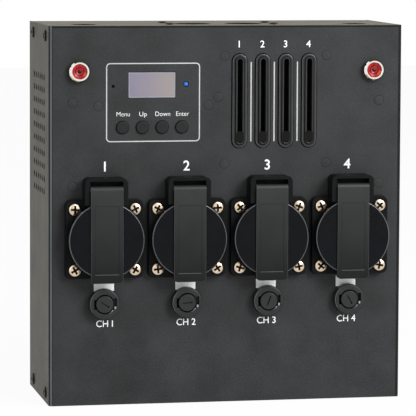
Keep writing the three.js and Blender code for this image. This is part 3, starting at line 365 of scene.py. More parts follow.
def along_y(edge):
    first, second = (v.co for v in edge.verts)
    return abs(first.y - second.y) > abs(first.x - second.x) + abs(first.z - second.z)


def bevel(bm, edges, width, segments, material=-1):
    bmesh.ops.bevel(
        bm, geom=edges, offset=width, offset_type="OFFSET", segments=segments, profile=0.5,
        affect="EDGES", material=material, clamp_overlap=True,
    )


def slab(width, height, corner, front, back, feet=None, steps=8):
    """A plate facing the front with rounded corners; feet is the radius of the lower two."""
    bm = block((-width / 2, front, -height / 2), (width / 2, back, height / 2))
    for up, radius in ((1, corner), (-1, corner if feet is None else feet)):
        if radius > 0:
            edges = [e for e in bm.edges if along_y(e) and e.verts[0].co.z * up > 0]
            bevel(bm, edges, radius, steps)
    return bm


def turned(profile, steps=64):
    """A profile of (radius, depth) pairs spun about the Y axis."""
    bm = bmesh.new()
    points = [bm.verts.new((radius, depth, 0)) for radius, depth in profile]
    edges = [bm.edges.new(pair) for pair in zip(points, points[1:])]
    bmesh.ops.spin(
        bm, geom=points + edges, cent=(0, 0, 0), axis=(0, 1, 0), angle=math.tau,
        steps=steps, use_merge=True,
    )
    bmesh.ops.remove_doubles(bm, verts=bm.verts, dist=0.0005)
    bmesh.ops.recalc_face_normals(bm, faces=bm.faces)
    return bm


def round_edge(radius, depth, size, inward, onward, steps=4):
    """Points of a quarter round at an outer edge, from the face to the flank or back.
    inward and onward are the signs of the way to the axis and of the way into the body."""
    points = []
    for step in range(steps + 1):
        angle = step / steps * math.pi / 2
        along = size * (1 - math.sin(angle))
        deep = size * (1 - math.cos(angle))
        points.append((radius + inward * along, depth + onward * deep))
    return points


def rod(diameter, front, back, steps=32):
    radius = diameter / 2
    return turned([(0, front), (radius, front), (radius, back), (0, back)], steps)


def hexagon_nut(across_flats, bore, front, back):
    corners = across_flats / math.cos(math.pi / 6)
    return carve(rod(corners, front, back, 6), [rod(bore, front - 1, back + 1, 48)])


def ring(outer, inner, front, back, steps=48):
    outside = outer / 2
    inside = inner / 2
    points = [(inside, front), (outside, front), (outside, back), (inside, back), (inside, front)]
    return turned(points, steps)


def pill_stack(straight, levels, segments=40, through=False):
    """Slot-shaped rings of (radius, depth), drawn out one from the last and closed at the ends.
    When through is set the last ring joins the first, which leaves a slot through the middle."""
    bm = bmesh.new()
    half_step = Matrix.Rotation(math.pi / segments, 4, "Z")
    radius, depth = levels[0]
    bmesh.ops.create_circle(bm, radius=radius, segments=segments, matrix=half_step)
    for vert in bm.verts:
        x, z = vert.co.x, vert.co.y
        vert.co = (x, depth, z + math.copysign(straight / 2, z))
    first = edges = bm.edges[:]
    for next_radius, depth in levels[1:] + levels[: 1 if through else 0]:
        grown = bmesh.ops.extrude_edge_only(bm, edges=edges)["geom"]
        verts = {part for part in grown if isinstance(part, bmesh.types.BMVert)}
        edges = [e for e in bm.edges if verts.issuperset(e.verts)]
        share = next_radius / radius
        radius = next_radius
        for vert in verts:
            end = math.copysign(straight / 2, vert.co.z)
            vert.co = (vert.co.x * share, depth, end + (vert.co.z - end) * share)
    if through:
        bmesh.ops.remove_doubles(bm, verts=bm.verts, dist=0.0005)
    else:
        for closing in (first, edges):
            bmesh.ops.contextual_create(bm, geom=closing)
    bmesh.ops.recalc_face_normals(bm, faces=bm.faces)
    return bm


def moved(bm, x=0, y=0, z=0, turn=None, degrees=0):
    """The shape turned about an axis through its origin, then shifted."""
    if turn:
        matrix = Matrix.Rotation(math.radians(degrees), 3, turn)
        bmesh.ops.rotate(bm, cent=(0, 0, 0), matrix=matrix, verts=bm.verts)
    bmesh.ops.translate(bm, vec=(x, y, z), verts=bm.verts)
    return bm


def copied(bm, x=0, y=0, z=0, turn=None, degrees=0):
    return moved(bm.copy(), x, y, z, turn, degrees)


def facing_up(bm):
    return moved(bm, turn="X", degrees=-90)


def facing_down(bm):
    return moved(bm, turn="X", degrees=90)


def facing_side(bm, side):
    return moved(bm, turn="Z", degrees=side * 90)


def lying(bm):
    """A shape turned about Y laid along X."""
    return moved(bm, turn="Z", degrees=-90)


def merged(shapes):
    """Several shapes in one, still apart."""
    whole = bmesh.new()
    for shape in shapes:
        mesh = mesh_from("part", shape)
        whole.from_mesh(mesh)
        bpy.data.meshes.remove(mesh)
    return whole


def carve(body, tools, operation="DIFFERENCE"):
    """The body with the tools cut out of it, or joined to it."""
    target, cutter = (add_object("tool", mesh_from("tool", bm)) for bm in (body, merged(tools)))
    modifier = target.modifiers.new("carve", "BOOLEAN")
    modifier.operation = operation
    modifier.solver = "EXACT"
    modifier.use_self = operation == "UNION" and len(tools) > 1
    modifier.object = cutter
    result = target.evaluated_get(bpy.context.evaluated_depsgraph_get())
    made = bmesh.new()
    made.from_mesh(result.data)
    for tool in (target, cutter):
        mesh = tool.data
        bpy.data.objects.remove(tool)
        bpy.data.meshes.remove(mesh)
    return made


def joined(body, tools):
    return carve(body, tools, "UNION")


SHARP = math.radians(35)


def piece(name, bm, materials, body="root", stands_for=(), slot=None, x=0, y=0, z=0, edge=0,
          painted_edge=None):
    """Puts a shape in its place as a finished piece that rides on a body.
    edge is the radius in millimetres of its small rounded edges, and painted_edge the finish
    painted on them: a highlight on some pieces, shade on others."""
    shape = copied(bm, x, y, z)
    bmesh.ops.scale(shape, vec=(MM, MM, MM), verts=shape.verts)
    bmesh.ops.translate(shape, vec=(0, PANEL, 0), verts=shape.verts)
    for face in shape.faces:
        face.smooth = True
    mesh = mesh_from(name, shape)
    shape.free()
    for material in materials if isinstance(materials, list) else [materials]:
        mesh.materials.append(material)
    made = add_object(name, mesh)
    if edge:
        rounding = made.modifiers.new("edge", "BEVEL")
        rounding.width = edge * MM
        rounding.segments = 2
        rounding.limit_method = "ANGLE"
        rounding.angle_limit = SHARP
        if painted_edge:
            mesh.materials.append(painted_edge)
            rounding.material = len(mesh.materials) - 1
    else:
        mesh.set_sharp_from_angle(angle=SHARP)
    made.modifiers.new("normals", "WEIGHTED_NORMAL").keep_sharp = True
    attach(made, body)
    if stands_for:
        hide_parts(*stands_for)
    return made


def polar(face):
    """A face's distance from the Y axis, its angle about it in degrees, and its depth."""
    middle = face.calc_center_median()
    around = math.degrees(math.atan2(middle.z, middle.x)) % 360
    return math.hypot(middle.x, middle.z), around, middle.y


# Sheet metal
def folded_sheet(points, along, radius, thickness, outward):
    """A line of points drawn out to a sheet, its folds rounded and its wall grown inwards."""
    bm = bmesh.new()
    line = [bm.verts.new(point) for point in points]
    edges = [bm.edges.new(pair) for pair in zip(line, line[1:])]
    grown = bmesh.ops.extrude_edge_only(bm, edges=edges)["geom"]
    far = [part for part in grown if isinstance(part, bmesh.types.BMVert)]
    bmesh.ops.translate(bm, vec=along, verts=far)
    folds = [e for e in bm.edges if len(e.link_faces) == 2 and e.calc_face_angle(0) > 1]
    bevel(bm, folds, radius, 8)
    bmesh.ops.recalc_face_normals(bm, faces=bm.faces)
    largest = max(bm.faces, key=lambda face: face.calc_area())
    if largest.normal.dot(Vector(outward)) < 0:
        bmesh.ops.reverse_faces(bm, faces=bm.faces)
    bmesh.ops.solidify(bm, geom=bm.faces[:], thickness=thickness)
    return bm


# Places on the case
OVERRUN = 4.0
VENT = 4.2
VENT_COLUMNS = 6
VENT_ROWS = 10
VENT_PITCH_DEEP = 9
VENT_PITCH_HIGH = 8
VENT_MIDDLE = (44, HEIGHT - 69)
SCREW_DROP = 6.5
SCREW_SHAFT = 3.9
SCREW_HEAD = 7.4
SCREW_PLACES = [(y, z) for y in (15, 70) for z in (SCREW_DROP, HEIGHT - SCREW_DROP)]
SOCKET_PITCH = 52.4
FIXING = 19
SOCKET_Z = middle_of("socket_fixings_1").z
FUSE_Z = middle_of("fuse_cap_1").z
CHANNEL_X = {n: (n - 2.5) * SOCKET_PITCH for n in CHANNELS}
FADER_X = {n: middle_of(f"fader_lever_{n}").x for n in CHANNELS}
FADER_Z = middle_of("fader_surround").z
KEYS = ("menu", "up", "down", "enter")
KEY_PLACES = {key: middle_of(f"button_{key}") for key in KEYS}
LAMP_PLACES = {name: middle_of(f"lamp_bezel_{name}") for name in ("left", "right")}
DISPLAY_X = middle_of("display").x
DISPLAY_Z = HEIGHT - 37.05
WINDOW = (30.2, 16.3)
SIGNAL_PLACE = (-26.4, HEIGHT - 36.6)
SIGNAL_HOLE = 3.6
MICROPHONE_PLACE = (-72.6, HEIGHT - 37.7)
MICROPHONE_HOLE = 2
RIM_WIDTH = 9.8
RIM_LENGTH = 59.4
RIM_STRAIGHT = RIM_LENGTH - RIM_WIDTH
SOCKET_HOLE = 44.2
FIXING_HOLE = 3.6
FUSE_BODY = 15
KEY = 8.2
LAMP_BODY = 9.4
STUD_PLACES = [(31.05 + a * 32.85, 185 + b * 33.9) for a, b in CORNERS]
STUD_PLACES += [(-47 + a * 35, 188) for a in SIDES]
STUD_PLACES += [(a * 98.2, 164.05 + b * 26.25) for a, b in CORNERS]
STUD_PLACES += [(-5.8, 193.2)]
STUD_MARK = 6.4
STUD_MARK_RISE = 0.15
CONTROL_SOCKET_X = 16.5
CONTROL_SOCKET_Y = 31.5
CONTROL_SOCKET = 23.4
CONTROL_SCREWS = [(a * 33.5, CONTROL_SOCKET_Y + b * 13) for a, b in CORNERS]
CONTROL_SCREW_HOLE = 3.4
HANG_X = 87.5
HANG_Y = 23.5
HANG_HOLE = 16
INLET_X = 70
INLET_Y = 55


def front_hole(diameter, x, z, steps=32):
    return moved(rod(diameter, -OVERRUN, OVERRUN, steps), x, 0, z)


def side_hole(diameter, side, depth, z, steps=20):
    return moved(facing_side(rod(diameter, -OVERRUN, OVERRUN, steps), side), side * HALF, depth, z)


def fixing_holes(diameter, front, back, x=0, z=0, steps=24):
    """Holes at the four screws of a socket."""
    hole = rod(diameter, front, back, steps)
    return [copied(hole, x + a * FIXING, 0, z + b * FIXING) for a, b in CORNERS]


def vent_places():
    for column in range(VENT_COLUMNS):
        for row in range(VENT_ROWS):
            deep = (column - (VENT_COLUMNS - 1) / 2) * VENT_PITCH_DEEP
            high = (row - (VENT_ROWS - 1) / 2) * VENT_PITCH_HIGH
            yield VENT_MIDDLE[0] + deep, VENT_MIDDLE[1] + high


# Angles, in degrees round the fold, of the painted highlight on the left fold's crown
FOLD_HIGHLIGHT_ANGLES = (45, 78)
# Levels between which a strip of painted shade runs under the panel's top edge
EDGE_SHADE = (HEIGHT - 1.3, HEIGHT - 0.3)
CUT_WALL_AREA = 2.2
CUT_WALL_LENGTH = 1.6


def mark_cut_walls(bm):
    """Gives the small walls of drilled holes, no wider than the sheet, the second finish: painted shade.
    """
    for face in bm.faces:
        if len(face.verts) <= 4 and face.calc_area() < CUT_WALL_AREA:
            tilt = [abs(value) for value in face.normal]
            longest = max(edge.calc_length() for edge in face.edges)
            if min(tilt) < 0.02 and max(tilt) <= 0.999 and longest < CUT_WALL_LENGTH:
                face.material_index = 1


def make_cover():
    line = [(-HALF, DEPTH, 0), (-HALF, 0, 0), (HALF, 0, 0), (HALF, DEPTH, 0)]
    sheet = folded_sheet(line, (0, 0, HEIGHT), BEND, SHEET, (0, -1, 0))
    mark = STUD_MARK / 2
    rise = STUD_MARK_RISE
    profile = [(0, -rise), (mark - 0.25, -rise), (mark, 0), (mark, SHEET / 2), (0, SHEET / 2)]
    stud = turned(profile, 32)
    sheet = joined(sheet, [copied(stud, x, 0, z) for x, z in STUD_PLACES])
    holes = [front_hole(SOCKET_HOLE, x, SOCKET_Z, 48) for x in CHANNEL_X.values()]
    for x in CHANNEL_X.values():
        holes += fixing_holes(FIXING_HOLE, -OVERRUN, OVERRUN, x, SOCKET_Z, 16)
    holes += [front_hole(FUSE_BODY + 2 * GAP, x, FUSE_Z, 40) for x in CHANNEL_X.values()]
    rim = RIM_WIDTH / 2 + GAP
    slot = pill_stack(RIM_STRAIGHT, [(rim, -OVERRUN), (rim, OVERRUN)])
    holes += [copied(slot, x, 0, FADER_Z) for x in FADER_X.values()]
    holes += [front_hole(KEY + GAP, place.x, place.z) for place in KEY_PLACES.values()]
    holes += [front_hole(LAMP_BODY + 2 * GAP, place.x, place.z) for place in LAMP_PLACES.values()]
    holes.append(front_hole(SIGNAL_HOLE, *SIGNAL_PLACE, 24))
    holes.append(front_hole(MICROPHONE_HOLE, *MICROPHONE_PLACE, 24))
    holes.append(moved(slab(*WINDOW, 0.4, -OVERRUN, OVERRUN, steps=3), DISPLAY_X, 0, DISPLAY_Z))
    for side in SIDES:
        holes += [side_hole(VENT, side, *place) for place in vent_places()]
        holes += [side_hole(SCREW_SHAFT + 2 * GAP, side, *place) for place in SCREW_PLACES]
    cover = carve(sheet, holes)
    for level in EDGE_SHADE:
        whole = cover.verts[:] + cover.edges[:] + cover.faces[:]
        bmesh.ops.bisect_plane(cover, geom=whole, plane_co=(0, 0, level), plane_no=(0, 0, 1))
    mark_cut_walls(cover)
    for face in cover.faces:
        middle = face.calc_center_median()
        # Painted shade: the strip under the top edge, and tilted faces of the front such as the slopes of
        # the stud marks
        if face.normal.y < -0.5 and EDGE_SHADE[0] < middle.z < EDGE_SHADE[1]:
            face.material_index = 1
        if -0.95 < face.normal.y < -0.5 and abs(middle.x) < HALF - BEND:
            face.material_index = 1
        # Painted shade along the outer sides of both folds, and a painted highlight on the crown of the
        # left fold
        across = BEND - (HALF - abs(middle.x))
        deep = BEND - middle.y
        turned_in = math.degrees(math.atan2(deep, across))
        if across > 0 and deep > 0 and abs(face.normal.x) > 0.05 and face.normal.y < -0.05:
            if math.hypot(across, deep) > BEND - SHEET / 2:
                # A pale bluish painted highlight on the crown of the left fold only
                crown = middle.x < 0 and FOLD_HIGHLIGHT_ANGLES[0] < turned_in < FOLD_HIGHLIGHT_ANGLES[1]
                face.material_index = 2 if crown else 1
    return cover


# The cover's rounded edges take painted shade too
piece("cover_shell", make_cover(), [powder_coat, sheet_painted_shade, fold_painted_highlight], stands_for=["front_cover"],
      slot="powder_coated_steel", edge=0.2, painted_edge=sheet_painted_shade)


# Chassis: back, top and bottom from one sheet, with flanges, a dish for the inlet and welded nuts
def make_chassis():
    left = -CHASSIS_HALF
    corners = ((CHASSIS_FRONT, 0), (DEPTH, 0), (DEPTH, HEIGHT), (CHASSIS_FRONT, HEIGHT))
    line = [(left, *corner) for corner in corners]
    sheet = folded_sheet(line, (2 * CHASSIS_HALF, 0, 0), BEND, BACK_SHEET, (0, 1, 0))
    flange_depth = 13
    setback = 6
    inner = CHASSIS_HALF - BACK_SHEET
    flanges = []
    for side in SIDES:
        for low in (BACK_SHEET / 2, HEIGHT - flange_depth):
            high = low + flange_depth - BACK_SHEET / 2
            ends = sorted((side * inner, side * CHASSIS_HALF))
            flanges.append(block((ends[0], setback, low), (ends[1], DEPTH - setback, high)))
    dish_width = 43
    dish_depth = 36
    dish_height = 3
    dish = block(
        (INLET_X - dish_width / 2, INLET_Y - dish_depth / 2, BACK_SHEET / 2),
        (INLET_X + dish_width / 2, INLET_Y + dish_depth / 2, dish_height + BACK_SHEET),
    )
    sheet = joined(sheet, flanges + [dish])
    top = HEIGHT - BACK_SHEET / 2
    holes = []
    for side in SIDES:
        hole = facing_up(rod(CONTROL_SOCKET + 2 * GAP, -OVERRUN, OVERRUN, 64))
        holes.append(moved(hole, side * CONTROL_SOCKET_X, CONTROL_SOCKET_Y, top))
        holes.append(moved(facing_up(rod(HANG_HOLE, -OVERRUN, OVERRUN, 48)), side * HANG_X, HANG_Y, top))
        corner = block((-BEND, -BEND, -OVERRUN), (BEND, BEND, HEIGHT + OVERRUN))
        moved(corner, turn="Z", degrees=45)
        bmesh.ops.scale(corner, vec=(0.7071, 0.7071, 1), verts=corner.verts)
        holes.append(moved(corner, side * CHASSIS_HALF, CHASSIS_FRONT))
        holes += [side_hole(SCREW_SHAFT + 2 * GAP, side, *place) for place in SCREW_PLACES]
    for x, y in CONTROL_SCREWS:
        holes.append(moved(facing_up(rod(CONTROL_SCREW_HOLE, -OVERRUN, OVERRUN, 24)), x, y, top))
    walls = 2 * BACK_SHEET
    room = slab(dish_width - walls, dish_depth - walls, 3, -OVERRUN, dish_height)
    holes.append(moved(facing_down(room), INLET_X, INLET_Y))
    holes.append(moved(facing_down(slab(27.6, 20.6, 1, -OVERRUN, 2 * OVERRUN)), INLET_X, INLET_Y))
    chassis = carve(sheet, holes)
    mark_cut_walls(chassis)
    return chassis


# Painted shade on the chassis's rounded edges and on the walls of its holes
piece("rear_shell", make_chassis(), [powder_coat, sheet_painted_shade], stands_for=["chassis"],
      slot="powder_coated_steel", edge=0.2, painted_edge=sheet_painted_shade)


def thread(radius, start, end, pitch=1.0, depth=0.35):
    """Points of ridges along a bore or a shaft; a negative depth cuts them into a bore."""
    points = []
    turns = round(abs(end - start) / pitch)
    for turn in range(turns):
        base = start + (end - start) * turn / turns
        crest = start + (end - start) * (turn + 0.5) / turns
        points += [(radius - depth, base), (radius, crest)]
    return points + [(radius - depth, end)]


def hang_nut():
    top = 1.5
    bottom = 9.5
    outer = 11
    profile = [(outer - 0.6, -bottom), (outer, -bottom + 0.6), (outer, -top), (5.9, -top)]
    profile += thread(5.1, -top - 0.8, -bottom + 0.8, 1.5, -0.5)
    return facing_down(turned([(5.9, -bottom), *profile, (5.9, -bottom)], 48))


for side, name in zip(SIDES, ("left", "right")):
    piece(f"suspension_nut_{name}", hang_nut(), yellow_zinc, slot="bare_aluminium",
          x=side * HANG_X, y=HANG_Y, z=HEIGHT)
clinch = ring(8, 4.5, 0, 2.5, 24)
clinch_nuts = merged([
    moved(facing_side(clinch.copy(), side), side * (CHASSIS_HALF - BACK_SHEET), *place)
    for side in SIDES for place in SCREW_PLACES
])
piece("clinch_nuts", clinch_nuts, spring_steel, slot="spring_steel", edge=0.2)


# Pan-head screws with a crossed recess
def cross_recess(front, reach, width, depth):
    """A tapered cross that cuts the recess of a screw."""
    bars = []
    for degrees in (0, 90):
        bar = block((-reach, front - 1, -width / 2), (reach, front + depth, width / 2))
        deep = [v for v in bar.verts if v.co.y > front]
        bmesh.ops.scale(bar, vec=(0.7, 1, 0.75), verts=deep)
        bars.append(moved(bar, turn="Y", degrees=degrees))
    return bars


def pan_screw(head, height, shaft, length, seat=0.0):
    """A screw that faces the front, its head's underside at seat; the recess is its second material."""
    radius = head / 2
    front = seat - height
    dome = []
    for step in range(7):
        angle = step / 6 * math.pi / 2
        dome.append((radius * math.sin(angle), front + height * 0.55 * (1 - math.cos(angle))))
    core = shaft / 2
    profile = dome + [(radius, seat - 0.15), (radius - 0.15, seat), (core, seat)]
    profile += [(core, seat + length - 0.5), (core - 0.5, seat + length), (0, seat + length)]
    body = turned(profile, 40)
    reach = radius * 0.64
    cutters = cross_recess(front, reach, radius * 0.4, height * 0.95)
    made = carve(carve(body, cutters[:1]), cutters[1:])
    # The recess takes painted shade
    rim = front + height * 0.12
    for face in made.faces:
        away, _, deep = polar(face)
        if away < reach and rim < deep < seat + 0.1:
            face.material_index = 1
    return made


case_screw = pan_screw(SCREW_HEAD, 1.1, SCREW_SHAFT, 8)
SCREW_NUMBERS = (1, 3, 2, 4)
for side in SIDES:
    for corner, (y, z) in zip(SCREW_NUMBERS, SCREW_PLACES):
        number = corner + (0 if side < 0 else 4)
        turned_screw = facing_side(copied(case_screw, turn="Y", degrees=20 + 37 * number), side)
        piece(f"case_screw_{number}", turned_screw, [black_zinc, black_and_painted_shade],
              stands_for=[f"cover_screw_{number}"], slot="black_zinc_screw",
              x=side * (HALF + GAP), y=y, z=z)

# Outlets
PLATE = 50.0
PLATE_CORNER = 4.0
PLATE_FRONT = -5.3
RECESS = 39.6
RECESS_FLOOR = 12.2
HOUSING_BACK = 15.2
BARREL = 43.6
STRAP_WIDTH = 20.3
STRAP_FRONT = -14.6
STRAP_FOOT = -26.6
STRAP_BACK = -10.6
KNUCKLE = 2.5
HINGE_Y = -10.3
HINGE_Z = 31.3
HOOD_WIDTH = 26.9
HOOD_FRONT = -12.8
HOOD_FOOT = 22.2
HOOD_TOP = 38.9
HOOD_ROOF = 2.0
PIN = 3.0
PIN_REACH = 12.25
PIN_BORE = 3.6
PIN_BORE_REACH = 12.85
CONTACT_X = 9.5
CONTACT_BORE = 5.4
TERMINAL = (30, 20)
TERMINAL_DEPTH = 20
BORE_END = 33.2
LID = 47.5
LID_FRONT = -13.3
LID_THICK = 2.4
EARTH_Z = 16.2
EARTH_LEAF = (6, 1)
EARTH_BOW = 0.7


def make_outlet():
    """Mounting plate with its hood, recess and contact block."""
    plate = slab(PLATE - 1.2, PLATE - 1.2, PLATE_CORNER - 0.6, PLATE_FRONT, -0.8)
    rise = (HOOD_TOP + HOOD_FOOT) / 2
    hood = slab(HOOD_WIDTH, HOOD_TOP - HOOD_FOOT, 3.5, HOOD_FRONT, -0.6, feet=0)
    outside = joined(plate, [moved(hood, 0, 0, rise)])
    outside = joined(outside, [rod(BARREL, -1.5, HOUSING_BACK, 96)])
    terminal = slab(*TERMINAL, 0, HOUSING_BACK - 1, HOUSING_BACK + TERMINAL_DEPTH)
    outside = joined(outside, [terminal])
    room = STRAP_WIDTH / 2 + GAP
    roof = HOOD_TOP - HOOD_ROOF
    cavity = block((-room, HOOD_FRONT - 2, HOOD_FOOT - 2), (room, PLATE_FRONT, roof))
    holes = [rod(RECESS, PLATE_FRONT - 2, RECESS_FLOOR, 96), cavity]
    pin_hole = lying(rod(PIN_BORE, -PIN_BORE_REACH, PIN_BORE_REACH, 24))
    holes.append(moved(pin_hole, 0, HINGE_Y, HINGE_Z))
    contact_hole = rod(CONTACT_BORE, RECESS_FLOOR - 2, BORE_END, 24)
    holes += [copied(contact_hole, side * CONTACT_X) for side in SIDES]
    holes += fixing_holes(FIXING_HOLE, PLATE_FRONT - 2, 2)
    for hole in holes:
        outside = carve(outside, [hole])
    return outside


def make_gasket():
    plate = slab(PLATE, PLATE, PLATE_CORNER, -1.1, -GAP)
    return carve(plate, [rod(BARREL + 0.2, -3, 3, 96)] + fixing_holes(FIXING_HOLE, -3, 3))


def make_earth_clips():
    clips = []
    for side in SIDES:
        leaf = slab(*EARTH_LEAF, 0.3, -1.3, RECESS_FLOOR + 0.1, steps=3)
        for vert in leaf.verts:
            if vert.co.y < 0:
                vert.co.z += 0.25
        bmesh.ops.subdivide_edges(leaf, edges=[e for e in leaf.edges if along_y(e)], cuts=6)
        for vert in leaf.verts:
            vert.co.z -= EARTH_BOW * math.sin(max(0.0, vert.co.y + 1.3) / 13.5 * math.pi)
        if side < 0:
            bmesh.ops.scale(leaf, vec=(1, 1, -1), verts=leaf.verts)
            bmesh.ops.recalc_face_normals(leaf, faces=leaf.faces)
        clips.append(moved(leaf, 0, 0, side * EARTH_Z))
    return merged(clips)


def make_lid_disc():
    radius = LID / 2
    front = LID_FRONT
    back = front + LID_THICK
    skirt = BARREL / 2
    profile = [(0, front)] + round_edge(radius, front, 0.6, -1, 1)
    profile += [(radius, back - 0.2), (radius - 0.2, back), (skirt, back), (skirt, -5.9)]
    profile += [(skirt - 0.3, -5.6), (skirt - 1.5, -5.6), (skirt - 1.8, -5.9), (skirt - 1.8, back)]
    profile.append((0, back))
    disc = turned(profile, 128)
    # A painted highlight on the disc's front round edge
    for face in disc.faces:
        away, _, deep = polar(face)
        if away > radius - 0.6 and deep < front + 0.6:
            face.material_index = 1
    return disc


def make_lid_strap():
    """Strap with a sunk field and a painted highlight on its edges, its upper end rounded over the pin.
    """
    half = STRAP_WIDTH / 2
    top = HINGE_Z + KNUCKLE
    bm = block((-half, STRAP_FRONT, STRAP_FOOT), (half, STRAP_BACK, top))
    feet = [e for e in bm.edges if along_y(e) and max(v.co.z for v in e.verts) < STRAP_FOOT + 0.1]
    bevel(bm, feet, 2.5, 6)
    crown = [e for e in bm.edges if min(v.co.z for v in e.verts) > top - 0.1
             and max(v.co.y for v in e.verts) < STRAP_FRONT + 0.1]
    bevel(bm, crown, 2.5, 8)
    # A painted highlight along the strap's front outline
    outline = [e for e in bm.edges if e.calc_face_angle(0) > 1
               and max(v.co.y for v in e.verts) < STRAP_FRONT + 2.6]
    bevel(bm, outline, 0.45, 3, material=1)
    knuckle = lying(rod(2 * KNUCKLE, -half + 0.5, half - 0.5, 64))
    bm = joined(bm, [moved(knuckle, 0, HINGE_Y, HINGE_Z)])
    field = slab(15.8, 43.6, 0.2, STRAP_FRONT - 0.3, STRAP_FRONT + 0.3)
    deep = [v for v in field.verts if v.co.y > STRAP_FRONT]
    bmesh.ops.scale(field, vec=(0.924, 1, 0.9725), verts=deep)
    holes = [
        moved(field, 0, 0, 0.2),
        moved(lying(rod(PIN_BORE, -half - 1, half + 1, 24)), 0, HINGE_Y, HINGE_Z),
        block((-3.3, HINGE_Y - 2.9, HINGE_Z - 2.9), (3.3, HINGE_Y + 6, HINGE_Z + 2.9)),
    ]
    for hole in holes:
        bm = carve(bm, [hole])
    # and a painted highlight on the sunk field's lower wall
    for face in bm.faces:
        if face.normal.z > 0.5 and face.normal.y < -0.5 and face.calc_center_median().z < 0:
            face.material_index = 1
    return bm


def even_frame(width, height, line, front, back, corner):
    """A rectangular frame of an even line width."""
    inside = max(corner - line, 0)
    room = slab(width - 2 * line, height - 2 * line, inside, front - 1, back + 1)
    return carve(slab(width, height, corner, front, back), [room])


def make_spring():
    """The torsion spring's turns on the pin."""
    wire = 0.75
    coil_radius = 2.2
    coil_length = 5.2
    turns = 6
    steps = 16
    bm = bmesh.new()
    bmesh.ops.create_circle(
        bm, radius=wire / 2, segments=8, matrix=Matrix.Translation((coil_radius, 0, 0)), cap_ends=True
    )
    bmesh.ops.spin(
        bm, geom=bm.verts[:] + bm.edges[:] + bm.faces[:], cent=(0, 0, 0), axis=(0, 1, 0),
        dvec=(0, coil_length / (turns * steps), 0), angle=math.tau * turns, steps=turns * steps,
    )
    bmesh.ops.recalc_face_normals(bm, faces=bm.faces)
    return moved(lying(moved(bm, 0, -coil_length / 2)), 0, HINGE_Y, HINGE_Z)


def make_pin():
    reach = PIN_REACH
    radius = PIN / 2
    tip = radius - 0.3
    profile = [(0, -reach), (tip, -reach), (radius, -reach + 0.3)]
    profile += [(radius, reach - 0.3), (tip, reach), (0, reach)]
    return moved(lying(turned(profile, 32)), 0, HINGE_Y, HINGE_Z)


outlet = make_outlet()
gasket = make_gasket()
earth_clips = make_earth_clips()
sleeve = ring(5.2, 4.4, 12.6, 30, 24)
sleeves = merged([copied(sleeve, side * CONTACT_X) for side in SIDES])
lid_disc = make_lid_disc()
lid_strap = make_lid_strap()
spring = make_spring()
pin = make_pin()
fixing_screw = pan_screw(7.4, 1.7, 3, 9.2, seat=PLATE_FRONT - GAP)
clamp_frame = carve(slab(48, 48, 1, 1.5, 3), [rod(BARREL + 0.6, 0, 5, 64)])
clamp_frame = carve(clamp_frame, fixing_holes(3, 0, 5))
for n, x in CHANNEL_X.items():
    place = {"x": x, "z": SOCKET_Z}
    # The strap plastic on the outlet bodies' rounded edges is a painted highlight
    piece(f"outlet_body_{n}", outlet, moulded_nylon, stands_for=[f"socket_housing_{n}"],
          slot="moulded_nylon", edge=0.35, painted_edge=strap_plastic, **place)
    piece(f"outlet_gasket_{n}", gasket, rubber, slot="moulded_nylon", edge=0.15, **place)
    piece(f"earth_clips_{n}", earth_clips, brass, slot="spring_steel", **place)
    piece(f"contact_sleeves_{n}", sleeves, brass, slot="spring_steel", **place)
    piece(f"lid_disc_{n}", lid_disc, [polished_lid, nylon_painted_highlight], f"lid_{n}", [f"socket_lid_{n}"],
          "glossy_lid_plastic", **place)
    piece(f"lid_strap_{n}", lid_strap, [strap_plastic, nylon_painted_highlight], f"lid_{n}",
          slot="glossy_lid_plastic", **place)
    piece(f"hinge_pin_{n}", pin, spring_steel, stands_for=[f"lid_pin_{n}"], slot="spring_steel", **place)
    piece(f"hinge_spring_{n}", spring, spring_steel, slot="spring_steel", **place)
    screws = [
        moved(copied(fixing_screw, turn="Y", degrees=38 + 23 * n + 61 * i), a * FIXING, 0, b * FIXING)
        for i, (a, b) in enumerate(CORNERS)
    ]
    piece(f"outlet_screws_{n}", merged(screws), [nickel, black_and_painted_shade], slot="nickel_plated_screw",
          stands_for=[f"socket_fixings_{n}"], **place)
    piece(f"clamp_frame_{n}", clamp_frame, spring_steel, slot="nickel_plated_screw", edge=0.2, **place)

# Fuse holders
BEZEL = 19.3
BEZEL_FRONT = -5.8
CAP = 10.9
CAP_BORE = 12.2
CAP_BACK = 2.7
CAP_TURNS = {1: -35, 2: 5, 3: 70, 4: -60}
FUSE = 5.2
FUSE_ENDS = (-2.5, 17.5)
HOLDER_BACK = 20.3
COIN_SLOT = (5.8, 0.8)


def make_fuse_holder():
    bore = CAP_BORE / 2
    body = FUSE_BODY / 2
    profile = [(bore, BEZEL_FRONT + 0.3), (bore + 0.3, BEZEL_FRONT)]
    profile += round_edge(BEZEL / 2, BEZEL_FRONT, 1.0, -1, 1)
    profile += [(BEZEL / 2, -0.6), (BEZEL / 2 - 0.3, -GAP), (body, -GAP)]
    profile += thread(body, 0.2, 14, 1.0, 0.4)
    floor = FUSE_ENDS[1] + GAP
    profile += [(body - 0.4, HOLDER_BACK), (0, HOLDER_BACK), (0, floor)]
    profile += [(3.2, floor), (3.2, 3.0), (bore, 3.0)]
    holder = turned(profile + [profile[0]], 96)
    front = BEZEL_FRONT
    for low, high in (((-6.9, -3.1), (0, 3.1)), ((0, -3.3), (7.5, 3.9))):
        notch = block((low[0], front - 1, low[1]), (high[0], front + 4, high[1]))
        holder = carve(holder, [notch])
    # Painted highlights: a pale steel arc on the bore's chamfer at the lower right, and a pale band on
    # the outer rounding at the upper left
    for face in holder.faces:
        away, around, deep = polar(face)
        if bore < away < bore + 0.3 and 292 < around < 326 and deep < front + 0.3:
            face.material_index = 1
        if away > BEZEL / 2 - 0.75 and deep < front + 0.4 and 75 < around < 215:
            face.material_index = 2
    return holder


